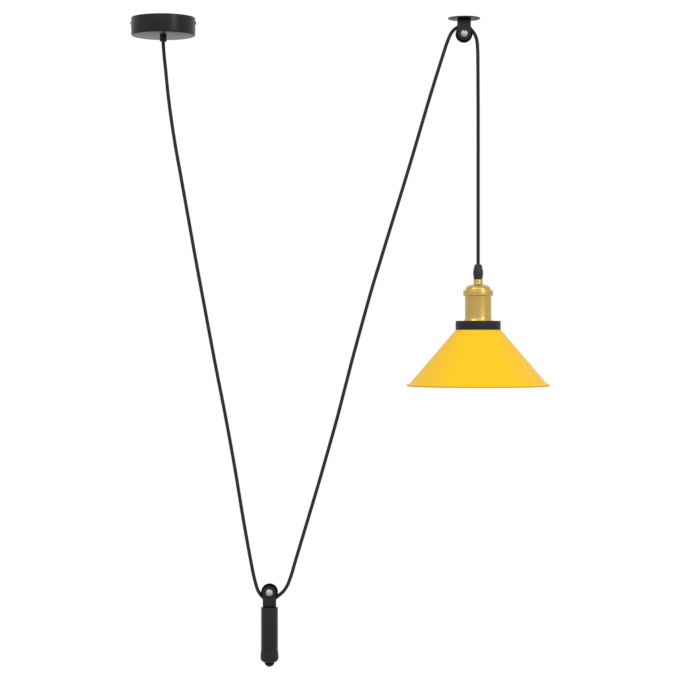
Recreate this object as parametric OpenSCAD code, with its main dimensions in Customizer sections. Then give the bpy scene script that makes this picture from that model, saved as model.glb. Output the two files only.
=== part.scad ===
// Rise and fall pendant. One cord runs from a ceiling rose, under the wheel of a
// hanging counterweight, over the wheel of a ceiling pulley and down to the lamp.
// Millimetres. The origin is the middle of the rose on the ceiling plane, +Z is up
// and +X points from the rose to the lamp. The cord lies in the plane Y = 0.

/* [Cord] */
// Diameter of the braided cord
cord_d = 5; // [4:0.1:5.4]
// Diameter of one insulated core
core_d = 2.1; // [1.6:0.1:2.2]
// Slip on the radius between the cord and a grip's bore
cord_slip = 0.1; // [0.05:0.05:0.3]

/* [Fits] */
// Slip on the radius in a screw thread
thread_slip = 0.05; // [0.02:0.01:0.1]
// Slip on the radius round a screw or bolt in a plain hole
hole_slip = 0.15; // [0.05:0.05:0.4]
// Slip on the radius between a wheel and its bush, and a bush and its axle
run_slip = 0.05; // [0.02:0.01:0.1]
// Gap between a wheel's hub and each ear of its fork
side_gap = 0.2; // [0.1:0.05:0.5]

/* [Rose cup] */
// Outer diameter of the cup
rose_d = 100; // [90:1:130]
// Height of the cup
rose_h = 28; // [24:0.5:36]
// Wall of the cup
rose_wall = 1.2; // [0.8:0.1:2]
// Rounding of the cup's lower edge
rose_edge_r = 2.2; // [2.1:0.1:5]

/* [Rose strap] */
// Width of the strap across the ceiling
strap_w = 16; // [13:0.5:18]
// Thickness of the strap
strap_t = 1.5; // [1.2:0.1:2.2]
// Length of the strap's bent ends
strap_drop = 14; // [12:0.5:18]
// Gap between the strap's bent ends and the cup
strap_gap = 0.3; // [0.2:0.1:1]
// Spacing of the two ceiling screw slots
slot_spacing = 60; // [56:1:68]
// Length of a slot
slot_l = 12; // [8:0.5:14]
// Width of a slot
slot_w = 5; // [4:0.1:6]
// Diameter of the two side screws
side_screw_d = 4; // [3:0.1:5]
// Length of a side screw under its head
side_screw_l = 9; // [7:0.5:12]
// Depth of the side screws below the ceiling
side_screw_z = 8; // [6:0.5:9]
// Diameter of a side screw's head
side_head_d = 7; // [6:0.1:8]
// Height of a side screw's head
side_head_h = 1.4; // [1:0.1:2.5]
// Place of the earth screw along the strap
earth_x = 19; // [18:0.5:20]
// Diameter of the earth screw
earth_screw_d = 3.5; // [3:0.1:4]
// Thickness of the earth eyelet
eyelet_t = 0.8; // [0.5:0.1:1]

/* [Rose terminals] */
// Length of the terminal block along the strap
block_w = 30; // [28:0.5:32]
// Depth of the terminal block
block_l = 18; // [16:0.5:20]
// Height of the terminal block
block_h = 12; // [11:0.5:13]
// Gap between the strap's edge and the block
block_gap = 2; // [1:0.5:4]
// Spacing of the three poles
pole_pitch = 9.5; // [9:0.1:10]
// Diameter of a brass insert
insert_d = 5.2; // [4.6:0.1:5.4]
// Wire bore of a brass insert
insert_bore = 3; // [2.6:0.1:3.4]
// Diameter of a terminal screw
terminal_screw_d = 2.4; // [2:0.1:2.6]
// Diameter of the block's two fixing screws
block_screw_d = 3; // [2:0.1:3.2]
// Height of a screw head inside the rose
small_head_h = 1.8; // [1.2:0.1:2.2]

/* [Rose grip] */
// Diameter of the cord grip under the cup
rose_grip_d = 10.7; // [9.9:0.1:14]
// Length of the grip below the cup
rose_grip_h = 9; // [7:0.5:15]
// Rounding of the grip's lower end
rose_grip_edge_r = 1.3; // [1:0.1:2.3]
// Thread of the grip through the cup
rose_thread_d = 9; // [8.4:0.1:9.4]
// Width across the flats of the grip's nut
rose_nut_af = 14; // [12:0.5:18]
// Height of the grip's nut
rose_nut_h = 3.5; // [2:0.1:4]
// Diameter of the grub screw that bites the cord
grub_d = 3; // [2:0.1:4]
// Length of cord sheath left above the grip inside the rose
tail_rise = 1.5; // [1:0.5:2]

/* [Pulleys] */
// Distance from the rose to the ceiling pulley's axle
pulley_x = 470; // [440:1:500]
// Diameter of the ceiling disc
disc_d = 50; // [48:1:70]
// Thickness of the ceiling disc
disc_t = 1.5; // [1.2:0.1:3]
// Spacing of the disc's two screw holes
disc_hole_spacing = 36; // [31:0.5:38]
// Diameter of the disc's screw holes
disc_hole_d = 4.5; // [3.5:0.1:5]
// Diameter of the countersink at the disc's screw holes
disc_sink_d = 6.5; // [5.5:0.1:7]
// Width of a fork's ears
fork_w = 20.5; // [18:0.5:24]
// Thickness of a fork
fork_t = 2; // [1.5:0.1:3]
// Gap between a fork's ears
fork_gap = 13; // [12.6:0.1:16]
// Distance from a fork's seat to its axle
fork_reach = 23.5; // [23:0.1:26]
// Outer bend radius of a fork
fork_bend_r = 3.2; // [3.1:0.1:4]
// Diameter of the screw that holds the fork on the disc
fork_screw_d = 5; // [4:0.1:5]
// Height of that screw's nut
fork_nut_h = 2.5; // [2:0.1:2.8]
// Diameter of an axle bolt
axle_d = 6; // [5:0.1:6.4]
// Diameter of an axle bolt's domed head
axle_head_d = 11; // [9:0.1:14]
// Height of an axle bolt's domed head
axle_head_h = 3.2; // [2:0.1:5]
// Width across the flats of an axle nut
axle_nut_af = 10; // [9:0.1:12]
// Height of the hexagon of an axle nut
axle_nut_h = 4.5; // [3:0.1:6]
// Diameter of an axle washer
washer_d = 15.5; // [13:0.1:18]
// Thickness of an axle washer
washer_t = 1; // [0.6:0.1:2]
// Outer diameter of a wheel's bush
bush_d = 8; // [7.4:0.1:9]
// Outer diameter of a wheel
wheel_d = 26.2; // [24.5:0.1:26.5]
// Diameter at the root of a wheel's groove
root_d = 20.4; // [18:0.1:20.6]
// Width of a wheel's rim
rim_w = 11; // [10:0.1:12]
// Diameter of a wheel's hub faces
hub_d = 13; // [11:0.1:16]
// Radius of a wheel's groove
groove_r = 2.8; // [2.8:0.1:3.2]
// Width of the groove at the rim
mouth_w = 8.6; // [7:0.1:9]

/* [Counterweight] */
// Place of the counterweight between the rose and the ceiling pulley
weight_x = 166; // [130:1:200]
// Depth of the counterweight's axle below the ceiling
weight_axle_depth = 897; // [850:1:950]
// Diameter of the cylinder
weight_d = 26.5; // [22:0.5:27]
// Length of the cylinder
weight_l = 67.5; // [50:0.5:120]
// Chamfer of the cylinder's upper edge
weight_chamfer = 0.6; // [0.3:0.1:1.5]
// Largest diameter of the end cap
cap_d = 28.6; // [27.5:0.1:34]
// Height of the end cap's flare
cap_flare_h = 8; // [4:0.5:12]
// Height of the end cap's straight band
cap_band_h = 3; // [2:0.5:8]
// Height of the end cap's rounded shoulder
cap_shoulder_h = 7; // [4:0.5:8]
// Diameter of the end cap's foot
cap_foot_d = 17.4; // [17:0.1:22]
// Diameter of the finial
finial_d = 15.6; // [12:0.1:16.8]
// Height of the finial
finial_h = 7.5; // [6:0.1:10]
// Diameter of the long bolt through the counterweight
rod_d = 6; // [5:0.1:8]
// Width across the flats of the long bolt's head
rod_af = 10; // [9:0.1:10.8]
// Height of the long bolt's head
rod_head_h = 4; // [3:0.1:4.5]
// Length of the long bolt's end inside the finial
rod_end_l = 4.5; // [3:0.1:5]

/* [Lamp grip] */
// Place of the lamp, measured from the rose
lamp_x = 492; // [470:1:520]
// Depth of the lamp's top below the ceiling
lamp_depth = 385; // [330:1:500]
// Diameter of the grip's cap at its top
grip_top_d = 10.8; // [9:0.1:12]
// Largest diameter of the grip
grip_d = 15.9; // [14:0.1:18]
// Diameter of the grip at the dome
grip_foot_d = 13.2; // [11:0.1:13.4]
// Height of the grip's cap
grip_cap_h = 13; // [11:0.5:18]
// Height of the grip's body below the cap
grip_body_h = 10.5; // [8:0.5:16]
// Thread between the grip's cap and body
grip_thread_d = 9; // [8:0.1:10]
// Length of that thread
grip_thread_l = 8; // [5:0.5:9]
// Thread of the grip's lower end in the dome
nipple_d = 10; // [8:0.1:10.4]
// Width across the flats of the nut on that thread
nipple_nut_af = 14; // [12:0.5:16]
// Height of the nut on that thread
nipple_nut_h = 3.5; // [2:0.1:4]
// Thickness of the earth lug under that nut
lug_t = 0.8; // [0.5:0.1:1.2]

/* [Lampholder] */
// Diameter of the dome's neck
neck_d = 14.2; // [13.6:0.1:16]
// Height of the straight part of the neck
neck_h = 5.5; // [5:0.1:9]
// Radius of the sweep between neck and dome
neck_sweep_r = 3; // [2:0.1:3.4]
// Height of the dome's shoulder
shoulder_h = 8.5; // [6:0.1:10]
// Outer diameter of the dome
dome_d = 40; // [39.8:0.1:40.6]
// Wall of the dome
dome_wall = 1; // [0.6:0.1:1.4]
// Outer diameter of the shell
shell_d = 41.2; // [40.8:0.1:44]
// Wall of the shell
shell_wall = 0.8; // [0.6:0.1:1]
// Length of the shell with its band
shell_l = 47.8; // [44:0.1:56]
// Diameter of the band round the shell's top
band_d = 46.7; // [43:0.1:50]
// Height of the band
band_h = 8.8; // [7:0.1:11]
// Rounding of the band's edges
band_edge_r = 1.2; // [0.6:0.1:1.4]
// Depth below the shell's top of the inner ledge that carries the socket
lip_depth = 15; // [13:0.1:20]
// Height of that ledge
lip_h = 1.5; // [1:0.1:2.5]
// Height of the flare at the shell's bottom
flare_h = 5; // [3:0.1:8]
// Growth of the radius in that flare
flare_out = 1.7; // [0.5:0.05:2.5]

/* [Socket] */
// Outer diameter of the socket's threaded skirt
skirt_d = 37.4; // [36:0.1:37.6]
// Thickness of the socket's flange
socket_flange_t = 2.5; // [1.5:0.1:4]
// Length of the skirt below the lock ring
skirt_tip_l = 1.5; // [0.5:0.1:5]
// Inner diameter of the screw shell for the bulb
bulb_thread_d = 26.5; // [26.2:0.1:27]
// Wall of the screw shell
screw_shell_wall = 0.5; // [0.3:0.1:0.8]
// Length of the screw shell
screw_shell_l = 23.5; // [20:0.5:26]
// Depth of the screw shell's lower edge inside the mouth
mouth_depth = 3; // [1:0.5:6]
// Diameter of the recess for the centre contact
recess_d = 19; // [17:0.1:20]
// Depth of the recess for the centre contact
recess_h = 5; // [4:0.1:7]
// Diameter of a contact post
post_d = 2.4; // [2:0.1:2.6]
// Radius at which the side contact's post stands
side_post_x = 11.7; // [11.4:0.1:11.9]
// Radius at which the centre contact's post stands
centre_post_x = 6; // [5:0.1:7]
// Side of a contact's terminal
terminal_w = 5; // [4:0.1:6]
// Diameter of a socket terminal screw
socket_screw_d = 2; // [1.6:0.1:2.4]

/* [Shade] */
// Outer diameter of the clamp ring on the shade
ring_d = 70.5; // [60:0.5:76]
// Height of the clamp ring
ring_h = 14; // [10:0.1:20]
// Wall of the clamp ring
ring_wall = 2.5; // [1.5:0.1:4]
// Rounding of the clamp ring's outer edges
ring_edge_r = 0.8; // [0.4:0.1:1.4]
// Wall of the shade
shade_wall = 1; // [0.6:0.1:2]
// Radius of the bend at the shade's shoulder
shade_bend_r = 1.5; // [1.5:0.1:4]
// Diameter of the shade where the lip starts
shade_d = 211.8; // [180:0.2:240]
// Height of the shade above the lip
shade_h = 82.7; // [60:0.1:120]
// Outward reach of the lip, to the middle of its rolled edge
lip_out = 3.9; // [3:0.1:12]
// Drop of the lip, to the middle of its rolled edge
lip_drop = 3.8; // [2.5:0.1:8]
// Diameter of the rolled edge
lip_roll_d = 3.6; // [2.2:0.1:4]
// Diameter of the lock ring's flange
lock_flange_d = 54; // [50:0.5:60]
// Thickness of the lock ring's flange
lock_flange_t = 2.5; // [1.5:0.1:4]
// Diameter of the lock ring's collar
lock_collar_d = 45; // [42:0.5:48]
// Height of the lock ring
lock_h = 8; // [5:0.1:12]

/* [Hidden] */
$fn = 64;

// How far a cut reaches past the solid that it opens
past = 1;
// Sides of the cord and of a core, and steps in a drawn quarter turn
cord_sides = 10;
core_sides = 8;
turn_steps = 8;

black_paint = "#1b1c1e";
black_plastic = "#232427";
bright_steel = "#c9c9c6";
zinc = "#9b9d9f";
brass = "#c2a14d";
yellow_paint = "#f6c21c";
white_plastic = "#e8e6df";
braid = "#2a2a2d";
live_brown = "#6b4226";
neutral_blue = "#2f5f9e";
earth_green = "#5f9a32";

// Rose
cord_r = cord_d / 2;
core_r = core_d / 2;
bore_r = cord_r + cord_slip;
// The three cores lie round the middle of the sheath, just clear of each other
core_ring_r = core_d / sqrt(3) + 0.05;
live_angle = 210;
neutral_angle = 90;
earth_angle = -30;
rose_r = rose_d / 2;
rose_inner_r = rose_r - rose_wall;
rose_floor_z = rose_wall - rose_h;
rose_exit_z = -rose_h - rose_grip_h;
rose_thread_r = rose_thread_d / 2;
rose_nipple_z = rose_floor_z + rose_nut_h + 0.5;
tail_top_z = rose_nipple_z + tail_rise;
// The bent ends' corners stay clear of the round wall
strap_x = sqrt(pow(rose_inner_r - strap_gap, 2) - pow(strap_w / 2, 2));
collar_l = 2;
collar_wall = 1.2;
block_front_y = strap_w / 2 + block_gap;
block_back_y = block_front_y + block_l;
block_low_z = -strap_t - block_h;
pole_z = -strap_t - block_h / 2;
pole_x = [-pole_pitch, 0, pole_pitch];
screw_row_y = [block_front_y + block_l / 4, block_back_y - block_l / 4];
insert_r = insert_d / 2;
eyelet_r = earth_screw_d / 2 + 2;
eyelet_z = -strap_t - eyelet_t;
lead_z = eyelet_z - core_r - 0.05;

// Pulleys
fork_outer = fork_gap + 2 * fork_t;
axle_r = axle_d / 2;
washer_y = fork_outer / 2 + washer_t;
hub_w = fork_gap - 2 * side_gap;
ceiling_axle_z = -disc_t - fork_reach;
fork_screw_l = disc_t + fork_t + fork_nut_h;

// Counterweight
weight_axle_z = -weight_axle_depth;
weight_top_z = weight_axle_z - fork_reach;
cap_top_z = weight_top_z - weight_l;
cap_h = cap_flare_h + cap_band_h + cap_shoulder_h;
finial_z = cap_top_z - cap_h;
rod_r = rod_d / 2;

// Lamp, from the top down
lamp_top_z = -lamp_depth;
grip_joint_z = lamp_top_z - grip_cap_h;
dome_top_z = grip_joint_z - grip_body_h;
nipple_r = nipple_d / 2;
dome_inner_z = dome_top_z - neck_h - neck_sweep_r - dome_wall;
nut_top_z = dome_inner_z - lug_t;
nipple_low_z = nut_top_z - nipple_nut_h - 0.5;
lamp_tail_z = nipple_low_z - tail_rise;
shell_top_z = dome_top_z - neck_h - neck_sweep_r - shoulder_h;
shell_inner_r = shell_d / 2 - shell_wall;
lip_z = shell_top_z - lip_depth;
lip_r = skirt_d / 2 + hole_slip;
socket_top_z = lip_z + socket_flange_t;
shell_low_z = shell_top_z - shell_l;
shade_top_z = shell_low_z - ring_h;
lock_top_z = shade_top_z - shade_wall;
socket_low_z = lock_top_z - lock_h - skirt_tip_l;
skirt_r = skirt_d / 2;
bulb_thread_r = bulb_thread_d / 2;
screw_shell_r = bulb_thread_r + screw_shell_wall;
screw_shell_low_z = socket_low_z + mouth_depth;
shelf_z = screw_shell_low_z + screw_shell_l;
recess_z = shelf_z + recess_h;
terminal_z = socket_top_z + terminal_w / 2;
post_r = post_d / 2;
// The lug's bent tab stands clear of the nut's corners
lug_tab_y = nipple_nut_af / 2 / cos(30) + 0.5;

// The cord's route, as [x, z] points in the plane Y = 0
rose_run = [
    [0, rose_exit_z], [0.2, rose_exit_z - 6], [1.5, -60], [3.8, -82], [7.6, -120], [12.8, -160],
    [19, -200], [25.8, -238], [36.9, -300], [51.2, -380], [66.1, -460], [81.1, -540], [96.8, -620],
    [111.3, -700], [124.2, -778], [133, -828], [139.6, -863], [141.6, -872.5], [143.3, -879.5],
    [144.9, -885.4], [147.2, -892.6], [148.6, -895.8], [150.3, -898.5], [152.8, -901.8],
    [155.5, -904.6], [158.4, -907.5], [162, -909.4], [166, -910]
];
middle_run = [
    [166, -910], [170, -909.4], [173.6, -907.5], [177.1, -904.9], [180.6, -902], [184.3, -899],
    [187.4, -896.1], [189.9, -893], [193.8, -886.8], [196.3, -881], [200.5, -869], [206, -850],
    [213.8, -824], [228.8, -774], [243.7, -724], [258, -674], [272, -624], [284.9, -574],
    [297.9, -524], [311.6, -474], [325.6, -424], [340.8, -374], [356.8, -322], [372.3, -272],
    [387.5, -222], [402.2, -172], [417, -122], [430, -80], [441.5, -44], [444.4, -36],
    [447.2, -29], [450.4, -23], [454.3, -18.4], [459, -15], [464.3, -12.7], [470, -11.7]
];
lamp_drop = [
    [470, -11.7], [474.5, -12.4], [478.2, -14.7], [481.2, -18.2], [483.9, -21.3], [486.2, -24.5],
    [488, -28.2], [489.4, -32.2], [490.3, -36.6], [490.9, -42.5], [491.4, -52], [491.6, -64],
    [491.8, -100], [492, -150], [492, -220], [492, -320], [492, lamp_top_z]
];

function unit(v) = v / norm(v);

// Points of an arc or part of an ellipse, as [radius, z]
function arc(centre, rx, rz, from, to) =
    [for (i = [0:turn_steps])
        let (a = from + (to - from) * i / turn_steps)
        [centre[0] + rx * cos(a), centre[1] + rz * sin(a)]];

// Left-hand normal of the line from a to b
function left_of(a, b) = let (d = unit(b - a)) [-d[1], d[0]];

// The line that runs at distance t on the left of an open line
function beside(line, t) =
    [for (i = [0:len(line) - 1])
        let (
            before = left_of(line[max(i - 1, 0)], line[max(i, 1)]),
            after = left_of(line[min(i, len(line) - 2)], line[min(i + 1, len(line) - 1)])
        )
        line[i] + t * (before + after) / (1 + before * after)];

function reversed(line) = [for (i = [len(line) - 1:-1:0]) line[i]];

// Direction of the route at point i, where first and last give the two ends
function heading(route, i, first, last) =
    i == 0 ? first : i == len(route) - 1 ? last :
    unit(unit(route[i] - route[i - 1]) + unit(route[i + 1] - route[i]));

// Points of one ring, square to the direction n, turned by the vector up
function ring(centre, n, r, sides, up) =
    let (u = unit(up - (up * n) * n), v = cross(n, u))
    [for (k = [0:sides - 1]) centre + r * (cos(360 * k / sides) * u + sin(360 * k / sides) * v)];

// Tube of flat facets along a route, with its end faces square to first and last
module swept_tube(route, r, sides, first, last, up) {
    count = len(route);
    points = [for (i = [0:count - 1])
        each ring(route[i], heading(route, i, first, last), r, sides, up)];
    side_faces = [for (i = [0:count - 2], k = [0:sides - 1])
        let (
            a = i * sides + k,
            b = i * sides + (k + 1) % sides
        )
        each [[a, a + sides, b], [b, a + sides, b + sides]]];
    start_face = [for (k = [0:sides - 1]) k];
    end_face = [for (k = [sides - 1:-1:0]) (count - 1) * sides + k];
    polyhedron(points, concat(side_faces, [start_face, end_face]), convexity = 6);
}

// One stretch of the cord along [x, z] points
module cord_stretch(route, first, last) {
    color(braid)
        swept_tube([for (p = route) [p[0], 0, p[1]]], cord_r, cord_sides, first, last, [0, 1, 0]);
}

// Upright tube between two heights
module tube(outer_r, inner_r, low, high) {
    difference() {
        translate([0, 0, low]) cylinder(h = high - low, r = outer_r);
        translate([0, 0, low - past]) cylinder(h = high - low + 2 * past, r = inner_r);
    }
}

// Upright hexagon nut with its lower face at z = 0
module hex_nut(af, h, hole_r) {
    difference() {
        cylinder(h = h, r = af / 2 / cos(30), $fn = 6);
        translate([0, 0, -past]) cylinder(h = h + 2 * past, r = hole_r);
    }
}

// Part of a ball on z = 0, of base radius r and height h
module round_cap(r, h) {
    ball_r = (r * r + h * h) / (2 * h);
    rotate_extrude()
        intersection() {
            translate([0, h - ball_r]) circle(ball_r);
            square([r, h]);
        }
}

// Screw that points up from z = 0, with its head below
module pan_screw(d, l, head_d, head_h) {
    cylinder(h = l, r = d / 2);
    mirror([0, 0, 1]) round_cap(head_d / 2, head_h);
}

// Half section of a round cup that hangs from z = 0
module cup_section(r, h, edge_r) {
    translate([0, edge_r - h]) square([r, h - edge_r]);
    translate([0, -h]) square([r - edge_r, edge_r + 0.01]);
    translate([r - edge_r, edge_r - h]) circle(edge_r);
}

// Places its children at each end of the rose's side screws, pointing outwards
module each_side_screw(x) {
    for (turn = [0, 180])
        rotate([0, 0, turn])
            translate([x, 0, -side_screw_z])
                rotate([0, 90, 0])
                    children();
}

module rose_cup() {
    color(black_paint)
        difference() {
            rotate_extrude()
                difference() {
                    cup_section(rose_r, rose_h, rose_edge_r);
                    cup_section(rose_inner_r, rose_h - rose_wall, rose_edge_r - rose_wall);
                    square([rose_inner_r, past]);
                }
            translate([0, 0, -rose_h - past])
                cylinder(h = rose_wall + 2 * past, r = rose_thread_r + hole_slip);
            each_side_screw(rose_inner_r - past)
                cylinder(h = rose_wall + 2 * past, r = side_screw_d / 2 + hole_slip);
        }
}

module rose_strap() {
    color(zinc)
        difference() {
            union() {
                translate([-strap_x, -strap_w / 2, -strap_t]) cube([2 * strap_x, strap_w, strap_t]);
                translate([-block_w / 2, 0, -strap_t]) cube([block_w, block_back_y, strap_t]);
                for (turn = [0, 180])
                    rotate([0, 0, turn])
                        translate([strap_x - strap_t, -strap_w / 2, -strap_drop])
                            cube([strap_t, strap_w, strap_drop]);
                each_side_screw(strap_x - strap_t - collar_l)
                    cylinder(h = collar_l + strap_t / 2, r = side_screw_d / 2 + collar_wall);
            }
            for (side = [-1, 1])
                translate([side * slot_spacing / 2, 0, -strap_t - past]) {
                    end_x = (slot_l - slot_w) / 2;
                    translate([-end_x, -slot_w / 2, 0]) cube([2 * end_x, slot_w, strap_t + 2 * past]);
                    for (end = [-end_x, end_x])
                        translate([end, 0, 0]) cylinder(h = strap_t + 2 * past, r = slot_w / 2);
                }
            each_side_screw(strap_x - strap_t - collar_l - past)
                cylinder(h = collar_l + strap_t + 2 * past, r = side_screw_d / 2 + thread_slip);
            for (side = [-1, 1])
                translate([side * pole_pitch / 2, (block_front_y + block_back_y) / 2, -strap_t - past])
                    cylinder(h = strap_t + 2 * past, r = block_screw_d / 2 + thread_slip);
            translate([earth_x, 0, -strap_t - past])
                cylinder(h = strap_t + 2 * past, r = earth_screw_d / 2 + thread_slip);
        }
}

module rose_side_screws() {
    color(black_paint)
        each_side_screw(rose_r) {
            translate([0, 0, -side_screw_l]) cylinder(h = side_screw_l, r = side_screw_d / 2);
            round_cap(side_head_d / 2, side_head_h);
        }
}

module rose_cord_grip() {
    color(black_plastic)
        difference() {
            union() {
                translate([0, 0, -rose_h])
                    rotate_extrude() cup_section(rose_grip_d / 2, rose_grip_h, rose_grip_edge_r);
                translate([0, 0, -rose_h]) cylinder(h = rose_nipple_z + rose_h, r = rose_thread_r);
            }
            translate([0, 0, rose_exit_z - past])
                cylinder(h = rose_nipple_z - rose_exit_z + 2 * past, r = bore_r);
            translate([0, 0, -rose_h - rose_grip_h / 2])
                rotate([-90, 0, 0])
                    cylinder(h = rose_grip_d, r = grub_d / 2 + thread_slip);
        }
}

module rose_grip_nut() {
    color(black_plastic)
        translate([0, 0, rose_floor_z]) hex_nut(rose_nut_af, rose_nut_h, rose_thread_r + thread_slip);
}

module rose_grub_screw() {
    grub_start_y = bore_r;
    color(zinc)
        translate([0, grub_start_y, -rose_h - rose_grip_h / 2])
            rotate([-90, 0, 0])
                cylinder(h = rose_grip_d / 2 - grub_start_y - 0.2, r = grub_d / 2);
}

module rose_terminal_block() {
    color(white_plastic)
        difference() {
            translate([-block_w / 2, block_front_y, block_low_z]) cube([block_w, block_l, block_h]);
            for (x = pole_x) {
                translate([x, block_front_y - past, pole_z])
                    rotate([-90, 0, 0])
                        cylinder(h = block_l + 2 * past, r = insert_r + thread_slip);
                for (y = screw_row_y)
                    translate([x, y, block_low_z - past])
                        cylinder(h = block_h / 2 + past, r = terminal_screw_d / 2 + 2 * hole_slip);
            }
            for (side = [-1, 1])
                translate([side * pole_pitch / 2, (block_front_y + block_back_y) / 2, block_low_z - past])
                    cylinder(h = block_h + 2 * past, r = block_screw_d / 2 + hole_slip);
        }
}

module rose_terminal_inserts() {
    insert_inset = 1;
    color(brass)
        for (x = pole_x)
            difference() {
                translate([x, block_front_y + insert_inset, pole_z])
                    rotate([-90, 0, 0])
                        cylinder(h = block_l - 2 * insert_inset, r = insert_r);
                translate([x, block_front_y - past, pole_z])
                    rotate([-90, 0, 0])
                        cylinder(h = block_l + 2 * past, r = insert_bore / 2);
                for (y = screw_row_y)
                    translate([x, y, pole_z - insert_r - past])
                        cylinder(h = insert_r + past, r = terminal_screw_d / 2 + thread_slip);
            }
}

module rose_terminal_screws() {
    screw_low_z = block_low_z + 0.4;
    color(bright_steel)
        for (x = pole_x, y = screw_row_y)
            translate([x, y, screw_low_z])
                cylinder(h = pole_z - core_r - 0.05 - screw_low_z, r = terminal_screw_d / 2);
}

module rose_block_screws() {
    color(zinc)
        for (side = [-1, 1])
            translate([side * pole_pitch / 2, (block_front_y + block_back_y) / 2, block_low_z])
                pan_screw(block_screw_d, block_h + strap_t - 0.3, block_screw_d + 2.4, small_head_h);
}

module rose_earth_screw() {
    color(brass)
        translate([earth_x, 0, eyelet_z])
            pan_screw(earth_screw_d, strap_t + eyelet_t - 0.3, earth_screw_d + 3, small_head_h);
}

module rose_earth_eyelet() {
    tab_l = 7;
    tab_w = 3;
    color(brass)
        difference() {
            union() {
                translate([earth_x, 0, eyelet_z]) cylinder(h = eyelet_t, r = eyelet_r);
                translate([earth_x - tab_w / 2, 0, eyelet_z]) cube([tab_w, tab_l, eyelet_t]);
            }
            translate([earth_x, 0, eyelet_z - past])
                cylinder(h = eyelet_t + 2 * past, r = earth_screw_d / 2 + hole_slip);
        }
}

// Lead from the back of the earth pole to the eyelet on the strap
module rose_earth_lead() {
    color(earth_green)
        swept_tube([
            [pole_pitch, block_back_y - 6, pole_z],
            [pole_pitch, block_back_y + 1, pole_z],
            [pole_pitch + 2, block_back_y + 4.5, pole_z],
            [earth_x - 3, block_back_y + 4, pole_z + 0.5],
            [earth_x, block_back_y - 1, pole_z + 1.5],
            [earth_x, block_front_y + 3, lead_z - 1],
            [earth_x, eyelet_r + 1.2, lead_z]
        ], core_r, core_sides, [0, 1, 0], [0, -1, 0], [0, 0, 1]);
}

module rose_cord_tail() {
    color(braid)
        translate([0, 0, rose_exit_z])
            cylinder(h = tail_top_z - rose_exit_z, r = cord_r);
}

// One core from the end of the sheath to its pole in the rose
module rose_core(angle, x) {
    start = [core_ring_r * cos(angle), core_ring_r * sin(angle), tail_top_z];
    clamp = [x, block_front_y, pole_z];
    swept_tube([
        start,
        start + [0, 0, 2],
        start + [0.12 * (x - start[0]), 0.6, 3.6],
        clamp + [-0.12 * (x - start[0]), -4, -1.4],
        clamp + [0, -1.2, 0],
        clamp + [0, 6, 0]
    ], core_r, core_sides, [0, 0, 1], [0, 1, 0], [1, 0, 0]);
}

module rose_live_core() {
    color(live_brown) rose_core(live_angle, -pole_pitch);
}

module rose_neutral_core() {
    color(neutral_blue) rose_core(neutral_angle, 0);
}

module rose_earth_core() {
    color(earth_green) rose_core(earth_angle, pole_pitch);
}

module ceiling_disc() {
    color(black_paint)
        translate([pulley_x, 0, -disc_t])
            difference() {
                cylinder(h = disc_t, r = disc_d / 2);
                for (side = [-1, 1])
                    translate([side * disc_hole_spacing / 2, 0, 0]) {
                        translate([0, 0, -past]) cylinder(h = disc_t + 2 * past, r = disc_hole_d / 2);
                        countersink(disc_hole_d, disc_sink_d);
                    }
                translate([0, 0, -past]) cylinder(h = disc_t + 2 * past, r = fork_screw_d / 2 + hole_slip);
                translate([0, 0, disc_t]) mirror([0, 0, 1])
                    countersink(fork_screw_d + 2 * hole_slip, fork_head_d() + 2 * hole_slip);
            }
}

// Head of the fork screw, flush with the top of the disc
function fork_head_d() = fork_screw_d + 2 * fork_head_h();
function fork_head_h() = disc_t - 0.5;

// Conical cut that is sink_d wide at z = 0 and hole_d wide where it ends
module countersink(hole_d, sink_d) {
    translate([0, 0, -0.01])
        cylinder(h = (sink_d - hole_d) / 2 + 0.01, r1 = sink_d / 2 + 0.01, r2 = hole_d / 2);
}

// Section across a fork, with its seat at y = 0 of the drawing
module bent_strip(outer_w, bend_r, low) {
    translate([-outer_w / 2, low + bend_r]) square([outer_w, fork_reach + fork_w - low - bend_r]);
    translate([bend_r - outer_w / 2, low]) square([outer_w - 2 * bend_r, bend_r + 0.01]);
    for (side = [-1, 1])
        translate([side * (outer_w / 2 - bend_r), low + bend_r]) circle(bend_r);
}

// Fork with its seat on z = 0 and its ears up to the axle at z = fork_reach
module fork(seat_hole_r) {
    difference() {
        intersection() {
            rotate([90, 0, 90])
                linear_extrude(fork_w, center = true)
                    difference() {
                        bent_strip(fork_outer, fork_bend_r, 0);
                        bent_strip(fork_gap, fork_bend_r - fork_t, fork_t);
                    }
            rotate([90, 0, 0])
                linear_extrude(fork_outer + 2 * past, center = true) {
                    translate([-fork_w / 2, -past]) square([fork_w, fork_reach + past]);
                    translate([0, fork_reach]) circle(fork_w / 2);
                }
        }
        translate([0, 0, -past]) cylinder(h = fork_t + 2 * past, r = seat_hole_r + hole_slip);
        translate([0, 0, fork_reach])
            rotate([90, 0, 0])
                cylinder(h = fork_outer + 2 * past, r = axle_r + hole_slip, center = true);
    }
}

// Axle parts lie along Y, with the domed head on the -Y side
module axle_bolt() {
    color(bright_steel) {
        translate([0, -washer_y, 0]) rotate([90, 0, 0]) round_cap(axle_head_d / 2, axle_head_h);
        translate([0, -washer_y, 0])
            rotate([-90, 0, 0])
                cylinder(h = 2 * washer_y + axle_nut_h, r = axle_r);
    }
}

module axle_washers() {
    color(black_paint)
        for (turn = [90, -90])
            rotate([turn, 0, 0]) tube(washer_d / 2, axle_r + hole_slip, fork_outer / 2, washer_y);
}

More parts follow.
